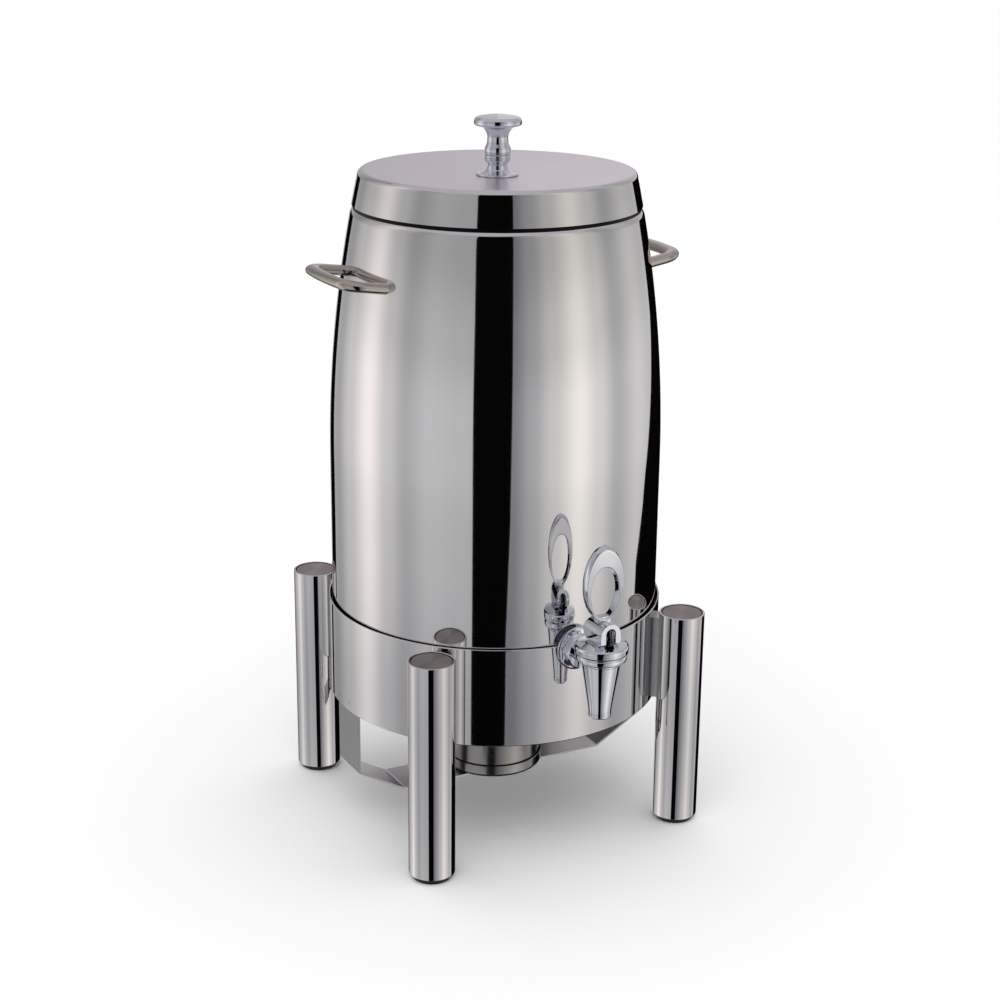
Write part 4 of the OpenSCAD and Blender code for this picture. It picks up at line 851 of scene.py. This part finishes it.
print("heel of the yoke:", cam_point(0), "to", cam_point(LEVER_TRAVEL))

# %% [markdown]
# The yoke is cast, slotted for the stem's head and drilled for the pin, in that order here too. The
# crisp edges that Booleans leave are bevelled, because a polished casting has none.

# %% Yoke of the lever
pin_place = Matrix.Translation((0, -TAP_REACH * mm, PIN_Z * mm))
heel = [cam_point(LEVER_TRAVEL * i / 10) for i in range(11)] + [(-13.7, 12), (10, 12), (14, 2.2)]
heel += arc(6, 0.4, 8, 0, -90, 10)
yoke_bm = front_prism(arch(YOKE_R, YOKE_TOP, YOKE_LOW), FRONT_DEPTH, pin_place)
yoke_bm = boolean(yoke_bm, side_prism(heel, SIDE_WIDTH, pin_place), "INTERSECT")
slot = arch(SLOT_R, SLOT_TOP, SLOT_LOW)
yoke_bm = boolean(yoke_bm, front_prism(slot, SLOT_DEPTH, pin_place), "DIFFERENCE")
hole = arc(0, 0, PIN_HOLE_R, 0, 345, 23)
yoke_bm = boolean(yoke_bm, side_prism(hole, SIDE_WIDTH, pin_place), "DIFFERENCE")
bmesh.ops.remove_doubles(yoke_bm, verts=yoke_bm.verts, dist=0.01 * mm)
break_edges(yoke_bm, 40, 0.6, 3)
stub = [(-5.5, 0), (5.5, 0), (5.5, 5.5), (-5.5, 5.5)]
stub_bm = front_prism(stub, 6.4, pin_place @ Matrix.Translation((0, 0, 7.8 * mm)))
for part in (yoke_bm, stub_bm):
    join(lever_bm, part)
finish(lever_bm, "lever", chrome_plate, "lever", ["tap_lever"], sharp=45)

# %% [markdown]
# ## The burner
# A flat strap hangs under the ring and carries a shallow pan, and the fuel pot stands in the pan. The
# strap is a bent strip, so its side view is drawn once and pushed out to the strap's width.

# %% Strap
STRAP_W = 40
STRAP_T = 2
STRAP_END = 123.5
STRAP_KNEE = 53.5
STRAP_FLAT_X = 96
STRAP_LOW = 29
STRAP_TOP = STRAP_LOW + STRAP_T
BEAD_INSIDE_R = RING_R - 2 * BEAD_R
# The strap's corners stand just inside the ring's bead.
STRAP_X = math.sqrt(BEAD_INSIDE_R ** 2 - (STRAP_W / 2) ** 2) - 0.05
# A bend of even thickness moves its inner corner along by this much.
strap_bend = STRAP_T * math.tan(math.atan2(STRAP_KNEE - STRAP_LOW, STRAP_X - STRAP_FLAT_X) / 2)
half_outer = [(STRAP_X, STRAP_END), (STRAP_X, STRAP_KNEE), (STRAP_FLAT_X, STRAP_LOW)]
half_inner = [(STRAP_X - STRAP_T, STRAP_END), (STRAP_X - STRAP_T, STRAP_KNEE + strap_bend),
              (STRAP_FLAT_X - strap_bend, STRAP_TOP)]
strap_outline = ([(-x, z) for x, z in half_outer] + half_outer[::-1]
                 + half_inner + [(-x, z) for x, z in half_inner[::-1]])
strap_bm = front_prism(soften(strap_outline, 1.6, 4), STRAP_W, Matrix.Identity(4))
break_edges(strap_bm, 60, 0.25, 2)
finish(strap_bm, "strap", brushed_strip, "stand", ["burner_strap"])

# %% [markdown]
# The pan is pressed from sheet: a flat floor, a round corner and a rolled lip. Its outline starts and
# ends on the axis, so the spin closes it by itself.

# %% Pan
PAN_BEND_R = 4
pan_bend = (39, STRAP_TOP + PAN_BEND_R)
pan_lip = arc(42.5, 41.5, 0.5, 0, 180, 6)
pan_outline = ([(0, STRAP_TOP)] + arc(*pan_bend, PAN_BEND_R, -90, 0, 8) + pan_lip
               + arc(*pan_bend, PAN_BEND_R - SHEET_T, 0, -90, 8) + [(0, STRAP_TOP + SHEET_T)])
finish(spin_outline(bmesh.new(), pan_outline, 128, closed=False), "pan", burner_steel, "stand",
       ["burner_pan"])

# %% [markdown]
# Only the pot's wall shows between ring and pan, and its CAD shape is right. It is merged, so that it
# shades smoothly, instead of being drawn again.

# %% Fuel pot
finish(merged_copy("fuel_pot"), "pot", burner_steel, "burner", ["fuel_pot"])

# %% [markdown]
# ## The rest of the pieces
# Every CAD node that was not remade keeps its own mesh and gets its finish in its material slot.

# %% Finishes for the CAD nodes
finish_of_slot = {
    "mirror_steel": mirror_steel, "satin_cap_steel": turned_disc, "sheet_steel": brushed_strip,
    "burner_steel": burner_steel, "cast_handle_metal": cast_steel, "plated_brass": chrome_plate,
    "vessel_steel": satin_vessel, "fastener_steel": fastener, "spring_steel": spring_wire,
    "silicone": silicone, "black_rubber": black_rubber,
}
slot_of_node = {part["node"]: part["material_slot"] for part in frame["record"]["subparts"]}
for name, node in nodes.items():
    node.data.materials.clear()
    node.data.materials.append(finish_of_slot[slot_of_node[name]])
print("finished nodes:", len(slot_of_node))

# %% [markdown]
# ## The camera
# The camera looks down a little from the urn's left, with a lens of a usual portrait length. Its place
# follows from the ellipses of lid, ring and leg discs, which open wider the higher the eye is.

# %% Camera
CAMERA_AT = Vector((-0.7438, -1.4007, 0.7911))
CAMERA_LENS = 70.66
CAMERA_TURN = -28.136
CAMERA_DOWN = 18.158
CAMERA_ROLL = 0.557
camera_data = bpy.data.cameras.new("camera")
camera_data.lens = CAMERA_LENS
camera_data.sensor_width = 36
camera_data.clip_end = 100
camera = bpy.data.objects.new("camera", camera_data)
camera.matrix_world = (Matrix.Translation(CAMERA_AT)
                       @ Matrix.Rotation(math.radians(CAMERA_TURN), 4, "Z")
                       @ Matrix.Rotation(math.radians(90 - CAMERA_DOWN), 4, "X")
                       @ Matrix.Rotation(math.radians(CAMERA_ROLL), 4, "Z"))
bpy.context.scene.collection.objects.link(camera)
bpy.context.scene.camera = camera
# The camera stands this many degrees round from the tap's side.
FRONT = -27.967
print("camera at", tuple(CAMERA_AT))

# %% [markdown]
# ## The room
# A mirror needs a room. Around the urn stands a round tent of light that only reflections see. Its
# brightness changes round the urn and with height: one broad soft light on the left, another on the
# right and grey between them. Two colour ramps do this, and each stop moves one stripe on the barrel.

# %% Tent of light
TENT_R = 1.32
TENT_TOP = 1.7
TENT_LOW = -1.3
TENT_STRENGTH = 1.36


def emitter(name, ramp_stops=None, level_stops=None, colour="#FFFFFF"):
    """Light for reflections. One ramp runs round the axis and one runs up with height."""
    material, tree, output = new_material(name)
    glow = add_node(tree, "ShaderNodeEmission", sockets={"Color": linear(colour), "Strength": 1})
    tree.links.new(glow.outputs["Emission"], output.inputs["Surface"])
    if ramp_stops is None:
        return material
    place = add_node(tree, "ShaderNodeTexCoord")
    turned = add_node(tree, "ShaderNodeMapping",
                      sockets={"Rotation": (0, 0, math.radians(90 - FRONT))},
                      links={"Vector": place.outputs["Object"]})
    split = add_node(tree, "ShaderNodeSeparateXYZ", links={"Vector": turned.outputs["Vector"]})
    angle = add_node(tree, "ShaderNodeMath", {"operation": "ARCTAN2"})
    tree.links.new(split.outputs["Y"], angle.inputs[0])
    tree.links.new(split.outputs["X"], angle.inputs[1])
    share = add_node(tree, "ShaderNodeMapRange",
                     sockets={"From Min": -math.pi, "From Max": math.pi},
                     links={"Value": angle.outputs["Value"]})
    around = add_node(tree, "ShaderNodeValToRGB", links={"Fac": share.outputs["Result"]})
    height = add_node(tree, "ShaderNodeMapRange",
                      sockets={"From Min": TENT_LOW, "From Max": TENT_TOP},
                      links={"Value": split.outputs["Z"]})
    level = add_node(tree, "ShaderNodeValToRGB", links={"Fac": height.outputs["Result"]})
    for ramp, stops in ((around.color_ramp, ramp_stops), (level.color_ramp, level_stops)):
        ramp.interpolation = "EASE"
        for i, (position, grey) in enumerate(stops):
            stop = ramp.elements[i] if i < 2 else ramp.elements.new(position)
            stop.position = position
            stop.color = linear(grey)
    both = add_node(tree, "ShaderNodeMix", {"data_type": "RGBA", "blend_type": "MULTIPLY"})
    # The Mix node's sockets share names, so they go by number: 0 is the factor, 6 and 7 the colours.
    both.inputs[0].default_value = 1
    tree.links.new(around.outputs["Color"], both.inputs[6])
    tree.links.new(level.outputs["Color"], both.inputs[7])
    tree.links.new(both.outputs[2], glow.inputs["Color"])
    glow.inputs["Strength"].default_value = TENT_STRENGTH
    return material


def bearing(degrees):
    """Share along the ramp for a direction, in degrees right of the camera."""
    return (degrees + 180) / 360


# Degrees right of the camera: soft lights at -92 and 57, a third one behind the urn at 172.
round_stops = [
    (-180, "#DAD5DA"), (-160, "#BCB9BD"), (-134, "#9E9E9F"), (-113, "#C8C6C4"), (-92, "#F6F0EE"),
    (-75, "#C8C6C6"), (-60, "#ABABAC"), (-43, "#BDBDBE"), (-20, "#B6B6B7"), (11, "#7E7E82"),
    (24, "#A4A4A6"), (38, "#C8C6C4"), (57, "#F0ECE6"), (72, "#D4D2CE"), (88, "#B0B0B1"),
    (111, "#CCCAC8"), (130, "#BCBABA"), (152, "#D2CDD2"), (172, "#EAE5E9"),
]
# Shares of the tent's height: brightest half way up.
level_stops = [
    (0.0, "#ECECEC"), (0.16, "#ECECEC"), (0.29, "#D0D0D2"), (0.38, "#E6E6E6"), (0.44, "#F3F3F3"),
    (0.5, "#F4F4F4"), (0.575, "#E1E1E1"), (0.665, "#CACACA"), (0.77, "#CACACA"),
]
around_stops = [(bearing(degrees), colour) for degrees, colour in round_stops]
tent_finish = emitter("studio tent light", around_stops, level_stops)
black_card = emitter("black card", colour="#050506")
print("stops round the tent:", len(round_stops), "and up it:", len(level_stops))


# %% [markdown]
# Black cards draw the dark stripes that photographers put on polished metal to show its shape. They
# hang just inside the tent. Each row of a card gives a height and the directions of its two edges
# there, so that a card can lean and widen. A pale ceiling and a dark card below close the tent.

# %% Tent wall and cards
def reflect_only(piece):
    """The piece is part of the studio and shows only in reflections."""
    piece.visible_camera = False
    piece.visible_diffuse = False
    piece.visible_transmission = False
    piece.visible_shadow = False
    return piece


def wall(name, material, radius, rows, steps):
    """A curved wall. Each row is a height and two directions, in degrees right of the camera."""
    bm = bmesh.new()
    bmesh.ops.create_grid(bm, x_segments=steps, y_segments=len(rows) - 1, size=1)
    for vert in bm.verts:
        height, start, end = rows[round((vert.co.y + 1) / 2 * (len(rows) - 1))]
        direction = start + (end - start) * (vert.co.x + 1) / 2
        angle = math.radians(direction + FRONT - 90)
        vert.co = (radius * math.cos(angle), radius * math.sin(angle), height)
    bmesh.ops.remove_doubles(bm, verts=bm.verts, dist=0.01 * mm)
    return reflect_only(to_object(bm, name, material))


wall("studio tent", tent_finish, TENT_R, [(TENT_LOW, -180, 180), (TENT_TOP, -180, 180)], 128)
CARDS = [
    [(TENT_LOW, -14, 7), (-0.28, -14, 8), (-0.1, -14, 10.2), (0.5, -14, 11.2), (0.7, -14.6, 11.8),
     (1.5, -15, 13)],
    [(TENT_LOW, 100, 177), (-0.2, 112.5, 177), (-0.12, 119.5, 177), (0.25, 136.5, 177),
     (0.55, 137, 177)],
    [(TENT_LOW, -158, -143), (0.55, -158, -143)],
]
for number, rows in enumerate(CARDS):
    wall(f"black card {number + 1}", black_card, TENT_R - 0.02, rows, 24)


def disc_card(name, colour, height):
    """A round card that closes the tent above or below."""
    bm = bmesh.new()
    bmesh.ops.create_circle(bm, cap_ends=True, radius=TENT_R, segments=64)
    bmesh.ops.translate(bm, verts=bm.verts, vec=(0, 0, height))
    return reflect_only(to_object(bm, name, emitter(name, colour=colour)))


disc_card("studio ceiling", "#BDB6BE", TENT_TOP)
disc_card("dark card below", "#3C3634", TENT_LOW)
print("black cards:", len(CARDS))

# %% [markdown]
# ## Floor, world and lamp
# The floor is a big pale disc that keeps the urn's soft shadow. It is hidden from reflections, where
# the tent shows instead. The world is plain white: it lights the floor evenly and is the background.

# %% Floor and world
floor_finish, floor_tree, floor_output = new_material("pale studio floor")
pale = add_node(floor_tree, "ShaderNodeBsdfDiffuse", sockets={"Color": linear("#FEFEFE")})
floor_tree.links.new(pale.outputs["BSDF"], floor_output.inputs["Surface"])
FLOOR_R = 14
floor_bm = bmesh.new()
bmesh.ops.create_circle(floor_bm, cap_ends=True, radius=FLOOR_R, segments=96)
floor = to_object(floor_bm, "floor", floor_finish)
floor.visible_glossy = False

world = bpy.data.worlds.new("studio world")
bpy.context.scene.world = world
world.use_nodes = True
sky = world.node_tree
sky.nodes.clear()
white = add_node(sky, "ShaderNodeBackground", sockets={"Color": (1, 1, 1, 1), "Strength": 1})
add_node(sky, "ShaderNodeOutputWorld", links={"Surface": white.outputs["Background"]})
print("floor:", FLOOR_R, "m, world:", world.name)

# %% [markdown]
# One soft box hangs high above the camera and looks at the urn's middle. It is hidden from
# reflections, so it lights only the matt pieces and the floor.

# %% Lamp
LAMP_AT = Vector((-0.9, -1.2, 2.4))
LAMP_AIM = Vector((0, 0, 0.3))
LAMP_WATTS = 8
LAMP_SIZE = 1.6
lamp_data = bpy.data.lights.new("soft box", "AREA")
lamp_data.shape = "DISK"
lamp_data.size = LAMP_SIZE
lamp_data.energy = LAMP_WATTS
lamp = bpy.data.objects.new("soft box", lamp_data)
lamp.location = LAMP_AT
lamp.rotation_euler = (LAMP_AIM - LAMP_AT).to_track_quat("-Z", "Y").to_euler()
lamp.visible_glossy = False
bpy.context.scene.collection.objects.link(lamp)
print("lamp:", LAMP_WATTS, "W")

# %% [markdown]
# ## View transform
# The Standard view transform lets colours render as they are written.

# %% View transform
bpy.context.scene.view_settings.view_transform = "Standard"
